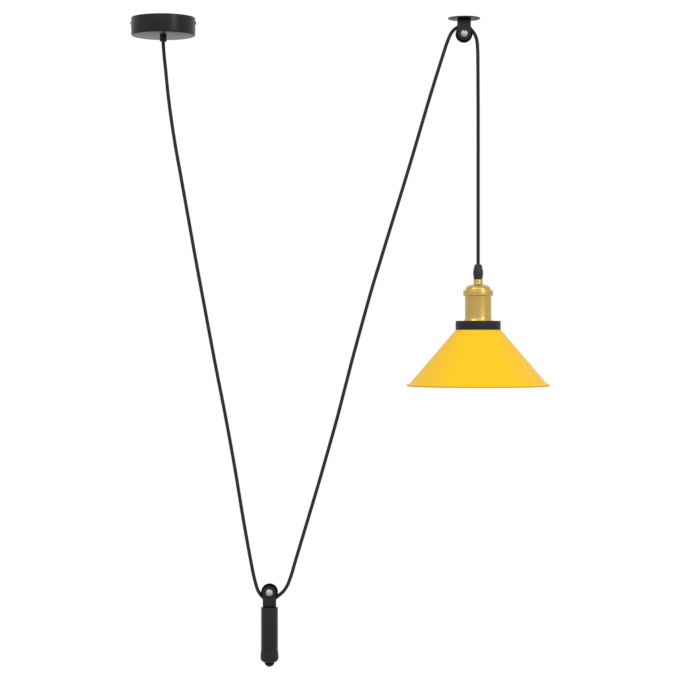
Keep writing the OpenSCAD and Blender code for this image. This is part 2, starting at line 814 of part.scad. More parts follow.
// Closed nut with a domed end
module axle_nut() {
    dome_r = axle_nut_af / 2 - 0.4;
    color(bright_steel)
        translate([0, washer_y, 0])
            rotate([-90, 0, 0])
                difference() {
                    union() {
                        cylinder(h = axle_nut_h, r = axle_nut_af / 2 / cos(30), $fn = 6);
                        translate([0, 0, axle_nut_h]) round_cap(dome_r, dome_r * 0.8);
                    }
                    translate([0, 0, -past]) cylinder(h = axle_nut_h + past + 0.5, r = axle_r + thread_slip);
                }
}

module axle_bush() {
    color(brass)
        rotate([90, 0, 0]) tube(bush_d / 2, axle_r + run_slip, -fork_gap / 2, fork_gap / 2);
}

module grooved_wheel() {
    color(black_plastic)
        rotate([90, 0, 0])
            rotate_extrude()
                difference() {
                    union() {
                        translate([0, -rim_w / 2]) square([wheel_d / 2, rim_w]);
                        translate([0, -hub_w / 2]) square([hub_d / 2, hub_w]);
                    }
                    translate([-past, -hub_w]) square([bush_d / 2 + run_slip + past, 2 * hub_w]);
                    translate([root_d / 2 + groove_r, 0]) circle(groove_r);
                    polygon([
                        [root_d / 2, 0],
                        [wheel_d / 2, mouth_w / 2],
                        [wheel_d / 2 + past, mouth_w / 2],
                        [wheel_d / 2 + past, -mouth_w / 2],
                        [wheel_d / 2, -mouth_w / 2]
                    ]);
                }
}

module at_ceiling_axle() {
    translate([pulley_x, 0, ceiling_axle_z]) children();
}

module at_weight_axle() {
    translate([weight_x, 0, weight_axle_z]) children();
}

module ceiling_fork() {
    color(black_paint)
        translate([pulley_x, 0, -disc_t]) mirror([0, 0, 1]) fork(fork_screw_d / 2);
}

module ceiling_fork_screw() {
    color(zinc)
        translate([pulley_x, 0, 0])
            mirror([0, 0, 1]) {
                cylinder(h = fork_head_h(), r1 = fork_head_d() / 2, r2 = fork_screw_d / 2);
                cylinder(h = fork_screw_l, r = fork_screw_d / 2);
            }
}

module ceiling_fork_nut() {
    fork_nut_af = fork_screw_d + 3;
    color(zinc)
        translate([pulley_x, 0, -fork_screw_l])
            hex_nut(fork_nut_af, fork_nut_h, fork_screw_d / 2 + thread_slip);
}

module ceiling_axle_bolt() {
    at_ceiling_axle() axle_bolt();
}

module ceiling_axle_washers() {
    at_ceiling_axle() axle_washers();
}

module ceiling_axle_nut() {
    at_ceiling_axle() axle_nut();
}

module ceiling_bush() {
    at_ceiling_axle() axle_bush();
}

module ceiling_wheel() {
    at_ceiling_axle() grooved_wheel();
}

module weight_fork() {
    color(black_paint)
        translate([weight_x, 0, weight_top_z]) fork(rod_r);
}

module weight_axle_bolt() {
    at_weight_axle() axle_bolt();
}

module weight_axle_washers() {
    at_weight_axle() axle_washers();
}

module weight_axle_nut() {
    at_weight_axle() axle_nut();
}

module weight_bush() {
    at_weight_axle() axle_bush();
}

module weight_wheel() {
    at_weight_axle() grooved_wheel();
}

module weight_cylinder() {
    weight_r = weight_d / 2;
    hole_r = rod_r + hole_slip;
    color(black_paint)
        translate([weight_x, 0, weight_top_z])
            rotate_extrude()
                polygon([
                    [hole_r, 0],
                    [weight_r - weight_chamfer, 0],
                    [weight_r, -weight_chamfer],
                    [weight_r, -weight_l],
                    [hole_r, -weight_l]
                ]);
}

module weight_end_cap() {
    band_z = -cap_flare_h - cap_band_h;
    hole_r = rod_r + hole_slip;
    color(black_paint)
        translate([weight_x, 0, cap_top_z])
            rotate_extrude()
                polygon(concat(
                    [[hole_r, 0], [weight_d / 2, 0], [cap_d / 2, -cap_flare_h]],
                    arc([cap_foot_d / 2, band_z], (cap_d - cap_foot_d) / 2, cap_shoulder_h, 0, -90),
                    [[hole_r, -cap_h]]
                ));
}

module weight_long_bolt() {
    head_z = weight_top_z + fork_t;
    color(zinc)
        translate([weight_x, 0, 0]) {
            translate([0, 0, head_z]) cylinder(h = rod_head_h, r = rod_af / 2 / cos(30), $fn = 6);
            translate([0, 0, finial_z - rod_end_l]) cylinder(h = head_z - finial_z + rod_end_l, r = rod_r);
        }
}

module weight_finial() {
    color(black_paint)
        translate([weight_x, 0, finial_z])
            difference() {
                rotate_extrude()
                    polygon(concat([[0, 0]], arc([0, 0], finial_d / 2, finial_h, 0, -90)));
                translate([0, 0, -rod_end_l - 0.3])
                    cylinder(h = rod_end_l + 0.3 + past, r = rod_r + thread_slip);
            }
}

module at_lamp(z) {
    translate([lamp_x, 0, z]) children();
}

module lamp_grip_cap() {
    top_edge = 1.2;
    top_r = grip_top_d / 2;
    thread_high_z = grip_thread_l - grip_cap_h;
    color(black_plastic)
        at_lamp(lamp_top_z)
            rotate_extrude()
                polygon([
                    [bore_r, 0],
                    [top_r - top_edge, 0],
                    [top_r, -top_edge],
                    [grip_d / 2, -grip_cap_h],
                    [grip_thread_d / 2 + thread_slip, -grip_cap_h],
                    [grip_thread_d / 2 + thread_slip, thread_high_z + 0.3],
                    [bore_r, thread_high_z + 0.3]
                ]);
}

module lamp_grip_body() {
    color(black_plastic)
        at_lamp(grip_joint_z)
            rotate_extrude()
                polygon([
                    [bore_r, grip_thread_l],
                    [grip_thread_d / 2, grip_thread_l],
                    [grip_thread_d / 2, 0],
                    [grip_d / 2, 0],
                    [grip_foot_d / 2, -grip_body_h],
                    [nipple_r, -grip_body_h],
                    [nipple_r, nipple_low_z - grip_joint_z],
                    [bore_r, nipple_low_z - grip_joint_z]
                ]);
}

module lamp_grip_nut() {
    color(zinc)
        at_lamp(nut_top_z - nipple_nut_h) hex_nut(nipple_nut_af, nipple_nut_h, nipple_r + thread_slip);
}

// Outer line of the dome from its neck down, with its inner face t inside it
function dome_line(t) =
    concat(
        arc([neck_d / 2 + neck_sweep_r, -neck_h], neck_sweep_r + t, neck_sweep_r + t, 180, 270),
        arc(
            [neck_d / 2 + neck_sweep_r, -neck_h - neck_sweep_r - shoulder_h],
            dome_d / 2 - neck_d / 2 - neck_sweep_r - t, shoulder_h - t, 90, 0
        )
    );

module holder_dome() {
    bore = nipple_r + hole_slip;
    low = shell_top_z - dome_top_z;
    thread_r = shell_inner_r - thread_slip;
    inner = dome_line(dome_wall);
    color(brass)
        at_lamp(dome_top_z)
            rotate_extrude()
                polygon(concat(
                    [[bore, 0], [neck_d / 2, 0]],
                    dome_line(0),
                    [
                        [thread_r, low],
                        [thread_r, socket_top_z - dome_top_z],
                        [thread_r - dome_wall, socket_top_z - dome_top_z],
                        [thread_r - dome_wall, low]
                    ],
                    reversed([for (p = inner) if (p[1] < dome_inner_z - dome_top_z + 0.001) p]),
                    [[bore, dome_inner_z - dome_top_z]]
                ));
}

module holder_earth_lug() {
    tab_w = 4;
    tab_l = nipple_nut_h + 2.5;
    color(brass)
        at_lamp(nut_top_z)
            difference() {
                union() {
                    cylinder(h = lug_t, r = nipple_r + 2);
                    translate([-tab_w / 2, 0, 0]) cube([tab_w, lug_tab_y + lug_t, lug_t]);
                    translate([-tab_w / 2, lug_tab_y, -tab_l]) cube([tab_w, lug_t, tab_l + lug_t]);
                }
                translate([0, 0, -past]) cylinder(h = lug_t + 2 * past, r = nipple_r + hole_slip);
            }
}

module holder_shell() {
    outer_r = shell_d / 2;
    band_r = band_d / 2;
    color(brass)
        at_lamp(shell_top_z)
            rotate_extrude()
                polygon(concat(
                    [[shell_inner_r, 0]],
                    arc([band_r - band_edge_r, -band_edge_r], band_edge_r, band_edge_r, 90, 0),
                    arc([band_r - band_edge_r, band_edge_r - band_h], band_edge_r, band_edge_r, 0, -90),
                    [
                        [outer_r, -band_h],
                        [outer_r, flare_h - shell_l],
                        [outer_r + 0.3 * flare_out, 0.45 * flare_h - shell_l],
                        [outer_r + flare_out, -shell_l],
                        [outer_r + flare_out - shell_wall, -shell_l],
                        [shell_inner_r + 0.3 * flare_out, 0.45 * flare_h - shell_l],
                        [shell_inner_r, flare_h - shell_l],
                        [shell_inner_r, -lip_depth - lip_h],
                        [lip_r, -lip_depth - lip_h],
                        [lip_r, -lip_depth],
                        [shell_inner_r, -lip_depth]
                    ]
                ));
}

module holder_socket() {
    flange_r = shell_inner_r - hole_slip;
    color(black_plastic)
        difference() {
            at_lamp(0)
                rotate_extrude()
                    polygon([
                        [0, socket_top_z],
                        [flange_r, socket_top_z],
                        [flange_r, lip_z],
                        [skirt_r, lip_z],
                        [skirt_r, socket_low_z],
                        [screw_shell_r + thread_slip, socket_low_z],
                        [screw_shell_r + thread_slip, shelf_z],
                        [recess_d / 2, shelf_z],
                        [recess_d / 2, recess_z],
                        [0, recess_z]
                    ]);
            at_lamp(shelf_z - past)
                translate([side_post_x, 0, 0])
                    cylinder(h = socket_top_z - shelf_z + 2 * past, r = post_r + thread_slip);
            at_lamp(recess_z - past)
                translate([-centre_post_x, 0, 0])
                    cylinder(h = socket_top_z - recess_z + 2 * past, r = post_r + thread_slip);
        }
}

module bulb_screw_shell() {
    color(brass)
        at_lamp(screw_shell_low_z)
            rotate_extrude()
                polygon([
                    [bulb_thread_r, 0],
                    [screw_shell_r, 0],
                    [screw_shell_r, screw_shell_l],
                    [recess_d / 2, screw_shell_l],
                    [recess_d / 2, screw_shell_l - screw_shell_wall],
                    [bulb_thread_r, screw_shell_l - screw_shell_wall]
                ]);
}

// Brass terminal on top of the socket, with its wire hole along X
module contact_terminal() {
    difference() {
        translate([-terminal_w / 2, -terminal_w / 2, 0]) cube([terminal_w, terminal_w, terminal_w]);
        translate([0, 0, terminal_w / 2])
            rotate([0, 90, 0])
                cylinder(h = terminal_w + 2 * past, r = core_r + hole_slip, center = true);
        translate([0, 0, terminal_w / 2])
            cylinder(h = terminal_w, r = socket_screw_d / 2 + thread_slip);
    }
}

module socket_centre_contact() {
    tongue_w = 6;
    tongue_t = 0.5;
    color(brass)
        at_lamp(recess_z) {
            translate([-centre_post_x, 0, 0]) cylinder(h = socket_top_z - recess_z, r = post_r);
            translate([0, tongue_w / 2, 0])
                rotate([90, 0, 0])
                    linear_extrude(tongue_w)
                        polygon([
                            [-centre_post_x - 2, 0],
                            [-centre_post_x + 2, 0],
                            [0, 1.5 - recess_h],
                            [3, 1.5 - recess_h],
                            [3, 1.5 - recess_h - tongue_t],
                            [-0.3, 1.5 - recess_h - tongue_t],
                            [-centre_post_x + 1.7, -tongue_t],
                            [-centre_post_x - 2, -tongue_t]
                        ]);
            translate([-centre_post_x, 0, socket_top_z - recess_z]) contact_terminal();
        }
}

module socket_side_contact() {
    color(brass)
        at_lamp(shelf_z)
            translate([side_post_x, 0, 0]) {
                cylinder(h = socket_top_z - shelf_z, r = post_r);
                translate([0, 0, socket_top_z - shelf_z]) contact_terminal();
            }
}

module socket_terminal_screws() {
    color(bright_steel)
        for (x = [-centre_post_x, side_post_x])
            at_lamp(terminal_z + core_r)
                translate([x, 0, 0.05]) {
                    cylinder(h = terminal_w / 2 - core_r - 0.05, r = socket_screw_d / 2);
                    translate([0, 0, terminal_w / 2 - core_r - 0.05]) round_cap(socket_screw_d, 1.2);
                }
}

module lamp_cord_tail() {
    color(braid)
        at_lamp(lamp_tail_z) cylinder(h = lamp_top_z - lamp_tail_z, r = cord_r);
}

// Start of a core below the end of the sheath in the lamp
function lamp_core_start(angle) =
    [lamp_x + core_ring_r * cos(angle), core_ring_r * sin(angle), lamp_tail_z];

// One core from the end of the sheath to a terminal on the socket
module lamp_core(angle, terminal_x) {
    start = lamp_core_start(angle);
    side = sign(terminal_x);
    clamp = [lamp_x + terminal_x - side * terminal_w / 2, 0, terminal_z];
    swept_tube([
        start,
        start + [0.1 * side, 0, -1.6],
        [start[0] + 0.6 * side, start[1] * 0.8, (start[2] + clamp[2]) / 2 - 0.6],
        [clamp[0] - 1.2 * side, start[1] * 0.3, clamp[2] + 0.5],
        clamp,
        clamp + [side * terminal_w * 0.7, 0, 0]
    ], core_r, core_sides, [0, 0, -1], [side, 0, 0], [0, 1, 0]);
}

module lamp_live_core() {
    color(live_brown) lamp_core(live_angle, -centre_post_x);
}

module lamp_neutral_core() {
    color(neutral_blue) lamp_core(earth_angle, side_post_x);
}

module lamp_earth_core() {
    start = lamp_core_start(neutral_angle);
    end_y = lug_tab_y - core_r - 0.05;
    color(earth_green)
        swept_tube([
            start,
            start + [0, 0.2, -1.4],
            start + [0, 2, -2.6],
            [lamp_x, end_y - 0.8, lamp_tail_z - 1.6],
            [lamp_x, end_y, lamp_tail_z + 0.3],
            [lamp_x, end_y, nut_top_z - nipple_nut_h - 0.3]
        ], core_r, core_sides, [0, 0, -1], [0, 0, 1], [1, 0, 0]);
}

module shade_clamp_ring() {
    hub_r = lip_r + ring_wall;
    rib_count = 6;
    inner_r = ring_d / 2 - ring_wall;
    color(black_plastic)
        at_lamp(shade_top_z) {
            rotate_extrude()
                difference() {
                    translate([lip_r, 0]) square([ring_d / 2 - ring_edge_r - lip_r, ring_h]);
                    translate([hub_r, -past]) square([inner_r - hub_r, ring_h - ring_wall + past]);
                }
            rotate_extrude() {
                translate([ring_d / 2 - ring_edge_r - 0.01, ring_edge_r])
                    square([ring_edge_r + 0.01, ring_h - 2 * ring_edge_r]);
                for (z = [ring_edge_r, ring_h - ring_edge_r])
                    translate([ring_d / 2 - ring_edge_r, z]) circle(ring_edge_r);
            }
            for (i = [0:rib_count - 1])
                rotate([0, 0, i * 360 / rib_count])
                    translate([hub_r - 0.5, -0.8, 1])
                        cube([inner_r - hub_r + 1, 1.6, ring_h - ring_wall - 0.5]);
        }
}

// Outer line of the shade, from the hole in its top down to its rolled edge
function shade_line() =
    let (
        low_r = shade_d / 2,
        top_r = ring_d / 2,
        slope = atan2(shade_h, low_r - top_r)
    )
    concat(
        [[lip_r, 0]],
        arc([top_r - shade_bend_r * 0.4, -shade_bend_r], shade_bend_r, shade_bend_r, 90, 90 - slope),
        [
            [low_r, -shade_h],
            [low_r + 0.4 * lip_out, -shade_h - 0.3 * lip_drop],
            [low_r + lip_out, -shade_h - lip_drop + lip_roll_d / 2]
        ]
    );

module shade() {
    line = shade_line();
    inner = beside(line, -shade_wall);
    roll_r = lip_roll_d / 2;
    roll = [shade_d / 2 + lip_out, -shade_h - lip_drop];
    color(yellow_paint)
        at_lamp(shade_top_z)
            rotate_extrude()
                polygon(concat(
                    line,
                    arc(roll, roll_r, roll_r, 72, -54),
                    arc(roll, roll_r, roll_r, -72, -198),
                    reversed([for (i = [0:len(inner) - 2]) inner[i]])
                ));
}

module shade_lock_ring() {
    notch_count = 12;
    color(black_plastic)
        at_lamp(lock_top_z)
            difference() {
                rotate_extrude()
                    polygon([
                        [skirt_r + thread_slip, 0],
                        [lock_flange_d / 2, 0],
                        [lock_flange_d / 2, -lock_flange_t],
                        [lock_collar_d / 2, -lock_flange_t],
                        [lock_collar_d / 2, -lock_h],
                        [skirt_r + thread_slip, -lock_h]
                    ]);
                for (i = [0:notch_count - 1])
                    rotate([0, 0, i * 360 / notch_count])
                        translate([lock_flange_d / 2 + 0.6, 0, -lock_flange_t - past])
                            cylinder(h = lock_flange_t + 2 * past, r = 1.8);
            }
}

module cord_rose_run() {
    cord_stretch(rose_run, [0, 0, -1], [1, 0, 0]);
}

module cord_middle_run() {
    cord_stretch(middle_run, [1, 0, 0], [1, 0, 0]);
}

module cord_lamp_drop() {
    cord_stretch(lamp_drop, [1, 0, 0], [0, 0, -1]);
}

rose_cup();
rose_strap();
rose_side_screws();
rose_cord_grip();
rose_grip_nut();
rose_grub_screw();
rose_terminal_block();
rose_terminal_inserts();
rose_terminal_screws();
rose_block_screws();
rose_earth_screw();
rose_earth_eyelet();
rose_earth_lead();
rose_cord_tail();
rose_live_core();
rose_neutral_core();
rose_earth_core();
ceiling_disc();
ceiling_fork();
ceiling_fork_screw();
ceiling_fork_nut();
ceiling_axle_bolt();
ceiling_axle_washers();
ceiling_axle_nut();
ceiling_bush();
ceiling_wheel();
weight_fork();
weight_axle_bolt();
weight_axle_washers();
weight_axle_nut();
weight_bush();
weight_wheel();
weight_cylinder();
weight_end_cap();
weight_long_bolt();
weight_finial();
lamp_grip_cap();
lamp_grip_body();
lamp_grip_nut();
holder_dome();
holder_earth_lug();
holder_shell();
holder_socket();
bulb_screw_shell();
socket_centre_contact();
socket_side_contact();
socket_terminal_screws();
lamp_cord_tail();
lamp_live_core();
lamp_neutral_core();
lamp_earth_core();
shade_clamp_ring();
shade();
shade_lock_ring();
cord_rose_run();
cord_middle_run();
cord_lamp_drop();
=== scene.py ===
from math import atan2, cos, degrees, floor, pi, radians, sin

import bmesh
import bpy
from mathutils import Matrix, Vector


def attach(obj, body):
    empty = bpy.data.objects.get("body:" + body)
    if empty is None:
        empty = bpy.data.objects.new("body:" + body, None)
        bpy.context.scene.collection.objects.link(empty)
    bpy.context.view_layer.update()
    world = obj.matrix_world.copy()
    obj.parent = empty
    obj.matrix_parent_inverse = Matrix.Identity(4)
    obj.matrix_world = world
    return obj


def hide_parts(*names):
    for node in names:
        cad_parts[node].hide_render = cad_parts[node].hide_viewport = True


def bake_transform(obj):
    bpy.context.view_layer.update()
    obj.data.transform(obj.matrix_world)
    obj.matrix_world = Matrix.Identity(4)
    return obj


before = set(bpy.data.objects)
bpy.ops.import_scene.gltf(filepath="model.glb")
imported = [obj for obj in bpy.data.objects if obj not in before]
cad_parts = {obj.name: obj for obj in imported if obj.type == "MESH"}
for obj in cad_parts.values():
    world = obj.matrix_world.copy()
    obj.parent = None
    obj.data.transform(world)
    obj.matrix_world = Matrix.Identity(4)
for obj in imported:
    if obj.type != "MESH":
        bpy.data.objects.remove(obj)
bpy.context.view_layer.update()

# A rise and fall pendant: the camera, the finishes, the cord, the pieces from the ceiling down, the studio.
# The cord is drawn in metres, every other piece in millimetres that addPiece turns to metres.
mm = 0.001

# the camera is level, and square to the plane that the cord lies in
camera = dict(picture=680, mmPerPixel=1.5625, roseAcross=163.25, ceilingDown=18.0, distance=3.35)


def makeCamera(view):
    data = bpy.data.cameras.new("camera")
    half = view["picture"] / 2
    pixel = view["mmPerPixel"] * mm
    data.lens = data.sensor_width * view["distance"] / (view["picture"] * pixel)
    data.clip_start, data.clip_end = 0.1, 60
    eye = bpy.data.objects.new("camera", data)
    across, up = half - view["roseAcross"], view["ceilingDown"] - half
    eye.location = (across * pixel, -view["distance"], up * pixel)
    eye.rotation_euler = (pi / 2, 0, 0)
    bpy.context.scene.collection.objects.link(eye)
    bpy.context.scene.camera = eye


makeCamera(camera)
print("camera ready")


class Wire:
    # an output socket that can be used in a sum
    def __init__(self, graph, socket):
        self.graph = graph
        self.socket = socket

    def maths(self, operation, *values):
        return self.graph.node("Math", {"operation": operation}, dict(enumerate(values)))

    def __add__(self, other):
        return self.maths("ADD", self, other)

    def __sub__(self, other):
        return self.maths("SUBTRACT", self, other)

    def __rsub__(self, other):
        return self.maths("SUBTRACT", other, self)

    def __mul__(self, other):
        return self.maths("MULTIPLY", self, other)

    def __mod__(self, other):
        return self.maths("MODULO", self, other)

    __radd__ = __add__
    __rmul__ = __mul__


class Graph:
    # a node tree, with one way to add a node: its type, its settings, then its inputs
    def __init__(self, tree):
        self.tree = tree

    def node(self, kind, settings=None, inputs=None, output=0):
        made = self.tree.nodes.new("ShaderNode" + kind)
        for key, value in (settings or {}).items():
            setattr(made, key, value)
        for key, value in (inputs or {}).items():
            self.feed(made.inputs[key], value)
        return Wire(self, made.outputs[output]) if made.outputs else None

    def feed(self, socket, value):
        if isinstance(value, Wire):
            self.tree.links.new(value.socket, socket)
        elif socket.type == "RGBA" and len(value) == 3:
            socket.default_value = (*value, 1)
        else:
            socket.default_value = value


class Finish(Graph):
    # a Principled material
    def __init__(self, name, **plain):
        self.material = bpy.data.materials.new(name)
        self.material.use_nodes = True
        super().__init__(self.material.node_tree)
        self.shader = next(n for n in self.tree.nodes if n.type == "BSDF_PRINCIPLED")
        self.place = self.node("TexCoord", output="Object")
        self.set(**plain)

    def set(self, **sockets):
        # baseColor sets Base Color, and so on
        for name, value in sockets.items():
            title = "".join(" " + c if c.isupper() else c for c in name)
            title = "Specular IOR Level" if name == "specular" else title[0].upper() + title[1:]
            self.feed(self.shader.inputs[title], value)
        return self

    def noise(self, size, detail, stretch=(1, 1, 1)):
        # size is that of a speck in millimetres, drawn out along an axis by stretch
        scale = [1 / (size * mm * s) for s in stretch]
        spot = self.node("VectorMath", {"operation": "MULTIPLY"}, {0: self.place, 1: scale})
        return self.node("TexNoise", None, {"Vector": spot, "Scale": 1.0, "Detail": detail})

    def blend(self, amount, low, high):
        return self.node("Mix", {"data_type": "RGBA"}, {"Factor": amount, "A": low, "B": high}, "Result")

    def relief(self, height, depth, strength):
        # depth is in millimetres
        bump = self.node("Bump", None, {"Height": height, "Distance": depth * mm, "Strength": strength})
        return self.set(normal=bump)


def lacquer(name, colour, gloss, wear=0.1, shine=0.24):
    # sprayed black coat: orange peel, and a few duller, handled patches
    coat = Finish(name, specular=shine)
    patches = coat.noise(28, 4)
    peel = coat.noise(0.9, 2)
    pale = [c * 1.7 + 0.001 for c in colour]
    coat.set(baseColor=coat.blend(patches, colour, pale), roughness=gloss + wear * patches)
    return coat.relief(peel, 0.012, 0.3).material


def moulded(name, colour, gloss, grain=0.35, shine=0.22):
    # moulded plastic: fine spark-eroded grain
    body = Finish(name, specular=shine)
    speck = body.noise(grain, 2)
    cloud = body.noise(14, 3)
    pale = [c * 1.8 for c in colour]
    body.set(baseColor=body.blend(cloud, colour, pale), roughness=gloss + 0.12 * speck)
    return body.relief(speck, 0.03, 0.5).material


def turnedMetal(name, colour, shadow, gloss, lines, depth=0.012, varnish=0.0):
    # metal with the fine rings of turning or polishing round the upright axis, and faint patina
    metal = Finish(name, metallic=1.0, coatWeight=varnish, coatRoughness=0.14)
    ringsAround = metal.noise(lines, 3, (60, 60, 1))
    patina = metal.noise(9, 5)
    metal.set(
        baseColor=metal.blend(patina * 0.8, colour, shadow),
        roughness=gloss + 0.05 * ringsAround + 0.06 * patina,
    )
    return metal.relief(ringsAround, depth, 0.6).material


def plated(name, colour, gloss, scratch=0.4):
    # nickel or zinc plate: small scratches in all directions and a crystal bloom
    plate = Finish(name, metallic=1.0)
    bloom = plate.node("TexVoronoi", None, {"Vector": plate.place, "Scale": 420.0})
    fine = plate.noise(scratch, 4)
    dull = [c * 0.8 for c in colour]
    plate.set(baseColor=plate.blend(bloom, colour, dull), roughness=gloss + 0.14 * fine)
    return plate.relief(fine, 0.01, 0.5).material


def enamel(name, colour, deep, gloss, paintedShadeColour, edge, paintedShadeDepth):
    # baked enamel on a spun cone: soft orange peel and faint rings
    # below the height edge the colour turns to a painted shade for the rolled bead's underside, wholly so
    # over the given depth, both in millimetres
    coat = Finish(name, specular=0.16)
    cloud = coat.noise(45, 3)
    peel = coat.noise(1.6, 2)
    ringsAround = coat.noise(1.2, 2, (80, 80, 1))
    height = coat.node("SeparateXYZ", None, {0: coat.place}, "Z")
    # under is the painted-shade mask: one on the rolled bead's underside, nought above it
    under = coat.node("MapRange", {"interpolation_type": "SMOOTHSTEP"}, {
        "Value": height, "From Min": (edge - paintedShadeDepth) * mm, "From Max": edge * mm,
        "To Min": 1.0, "To Max": 0.0,
    })
    paint = coat.blend(cloud, colour, deep)
    coat.set(baseColor=coat.blend(under, paint, paintedShadeColour), roughness=gloss + 0.1 * peel)
    return coat.relief(peel * 0.7 + ringsAround * 0.3, 0.03, 0.3).material


def insulation(name, colour, stripe=None):
    # the soft sleeve of a core, with its second colour in bands where it has one
    sleeve = Finish(name, roughness=0.42)
    cloud = sleeve.noise(3, 3)
    if stripe:
        bands = sleeve.node(
            "TexWave", {"bands_direction": "DIAGONAL"}, {"Vector": sleeve.place, "Scale": 260.0}
        )
        sleeve.set(baseColor=sleeve.blend(bands, colour, stripe))
    else:
        sleeve.set(baseColor=sleeve.blend(cloud, colour, [c * 1.4 for c in colour]))
    return sleeve.relief(cloud, 0.05, 0.3).material


def braid(name, colour, pale, strands, pitch, mapped=True):
    # two families of yarn that cross, each over and under the other by turns
    cloth = Finish(name, specular=0.12, roughness=0.78, sheenWeight=0.05, sheenRoughness=0.5)
    source = cloth.node("UVMap", {"uv_map": "braid"}) if mapped else cloth.place
    parts = {axis: cloth.node("SeparateXYZ", None, {0: source}, axis) for axis in "XYZ"}
    around = parts["X"] * strands if mapped else (parts["X"] + parts["Y"]) * (1 / (pitch * mm))
    along = parts["Y" if mapped else "Z"] * (1 / (pitch * mm))
    right, left = around + along, around - along + 1000  # the 1000 keeps left above zero
    over = (right.maths("FLOOR", right) + left.maths("FLOOR", left)) % 2
    ridgeRight = right.maths("SINE", right.maths("FRACT", right) * pi)
    ridgeLeft = left.maths("SINE", left.maths("FRACT", left) * pi)
    height = over * ridgeRight + (1 - over) * ridgeLeft
    fibre = cloth.noise(0.25, 3)
    # each yarn is painted lighter on its crown and darker in the valleys between yarns: painted light and
    # shade of the weave, with random fibre tone on top
    cloth.set(baseColor=cloth.blend(height * 0.7 + fibre * 0.3, colour, pale))
    return cloth.relief(height * 0.85 + fibre * 0.15, 0.15, 0.45).material


finishes = dict(
    satinBlack=lacquer("satinBlackLacquer", [0.007, 0.0077, 0.0074], gloss=0.3, wear=0.06, shine=0.175),
    weightBlack=lacquer("weightLacquer", [0.0088, 0.0092, 0.009], gloss=0.3, wear=0.06, shine=0.2),
    forkBlack=lacquer("forkBlackLacquer", [0.007, 0.0073, 0.0073], gloss=0.4),
    blackPlastic=moulded("blackMouldedPlastic", [0.0088, 0.0091, 0.0101], gloss=0.46),
    gripPlastic=moulded("gripPlastic", [0.0165, 0.0168, 0.0175], gloss=0.42),
    # the wheels are black nylon, painted darker and duller than the other plastic as painted shade inside
    # their forks
    wheelPlasticShaded=moulded("wheelNylonShaded", [0.0011, 0.0011, 0.0013], gloss=0.6, grain=0.5, shine=0.05),
    # the finial is the weight's black lacquer, painted darker and duller as painted shade on its downward
    # face
    finialBlackShaded=lacquer("finialLacquerShaded", [0.0065, 0.0065, 0.0067], gloss=0.5, shine=0.1),
    whitePlastic=moulded("whiteNylon", [0.72, 0.71, 0.66], gloss=0.38),
    brass=turnedMetal(
        "satinBrass", [0.525, 0.36, 0.088], [0.44, 0.3, 0.073],
        gloss=0.33, lines=0.25, depth=0.001, varnish=0.4,
    ),
    contactBrass=turnedMetal("rolledBrass", [0.62, 0.44, 0.16], [0.5, 0.35, 0.12], gloss=0.22, lines=0.6),
    brightSteel=plated("brightNickel", [0.43, 0.43, 0.43], gloss=0.42),
    zinc=plated("zincPlate", [0.5, 0.51, 0.52], gloss=0.32, scratch=0.8),
    # the dark line under the yellow's rolled edge is painted shade, not thin paint
    yellow=enamel(
        "yellowEnamel", [0.98, 0.59, 0.012], [0.96, 0.545, 0.01],
        gloss=0.38, paintedShadeColour=[0.5, 0.37, 0.035], edge=-573.6, paintedShadeDepth=1.4,
    ),
    braid=braid("braidedSleeve", [0.0135, 0.0137, 0.0142], [0.03, 0.0307, 0.032], strands=16, pitch=1.1),
    sleeveEnd=braid(
        "braidedSleeveEnd", [0.0135, 0.0137, 0.0142], [0.03, 0.0307, 0.032],
        strands=16, pitch=1.1, mapped=False,
    ),
    brownCore=insulation("brownInsulation", [0.13, 0.05, 0.022]),
    blueCore=insulation("blueInsulation", [0.02, 0.1, 0.36]),
    earthCore=insulation("earthInsulation", [0.06, 0.26, 0.03], [0.75, 0.62, 0.04]),
)
print("finishes ready:", len(finishes))


def arc(centre, radii, start, end, count):
    turns = [radians(start + (end - start) * i / count) for i in range(count + 1)]
    return [(centre[0] + radii[0] * cos(a), centre[1] + radii[1] * sin(a)) for a in turns]


def domeLine(radius, rise, top):
    # a shallow dome's outline, from its rim up to the axis
    crown = (radius**2 + rise**2) / (2 * rise)
    spread = degrees(atan2(radius, crown - rise))
    return arc((0, top - crown), (crown, crown), 90 - spread, 90, 14)[:-1] + [(0, top)]


def lathe(outline, steps):
    # outline is (radius, height) or (radius, height, rounding), and closes on itself or on the axis
    bm = bmesh.new()
    corners = [bm.verts.new((point[0], 0, point[1])) for point in outline]
    for a, b in zip(corners, corners[1:] + corners[:1]):
        if a.co.x > 0 or b.co.x > 0:
            bm.edges.new((a, b))
    for corner, point in zip(corners, outline):
        if len(point) > 2:
            roundOff(bm, [corner], point[2], segments=4, affect="VERTICES")
    bmesh.ops.spin(
        bm, geom=bm.verts[:] + bm.edges[:], cent=(0, 0, 0), axis=(0, 0, 1),
        angle=2 * pi, steps=steps, use_merge=True,
    )
    return tidy(bm)


def roundOff(bm, geometry, size, segments=2, affect="EDGES"):
    bmesh.ops.bevel(
        bm, geom=geometry, offset=size, offset_type="OFFSET", segments=segments,
        profile=0.5, affect=affect, material=-1, clamp_overlap=True,
    )


def tidy(bm):
    bmesh.ops.remove_doubles(bm, verts=bm.verts, dist=0.0005)
    bmesh.ops.recalc_face_normals(bm, faces=bm.faces)
    return bm


def sharpEdges(bm, angle=30):
    return [e for e in bm.edges if len(e.link_faces) == 2 and e.calc_face_angle() > radians(angle)]


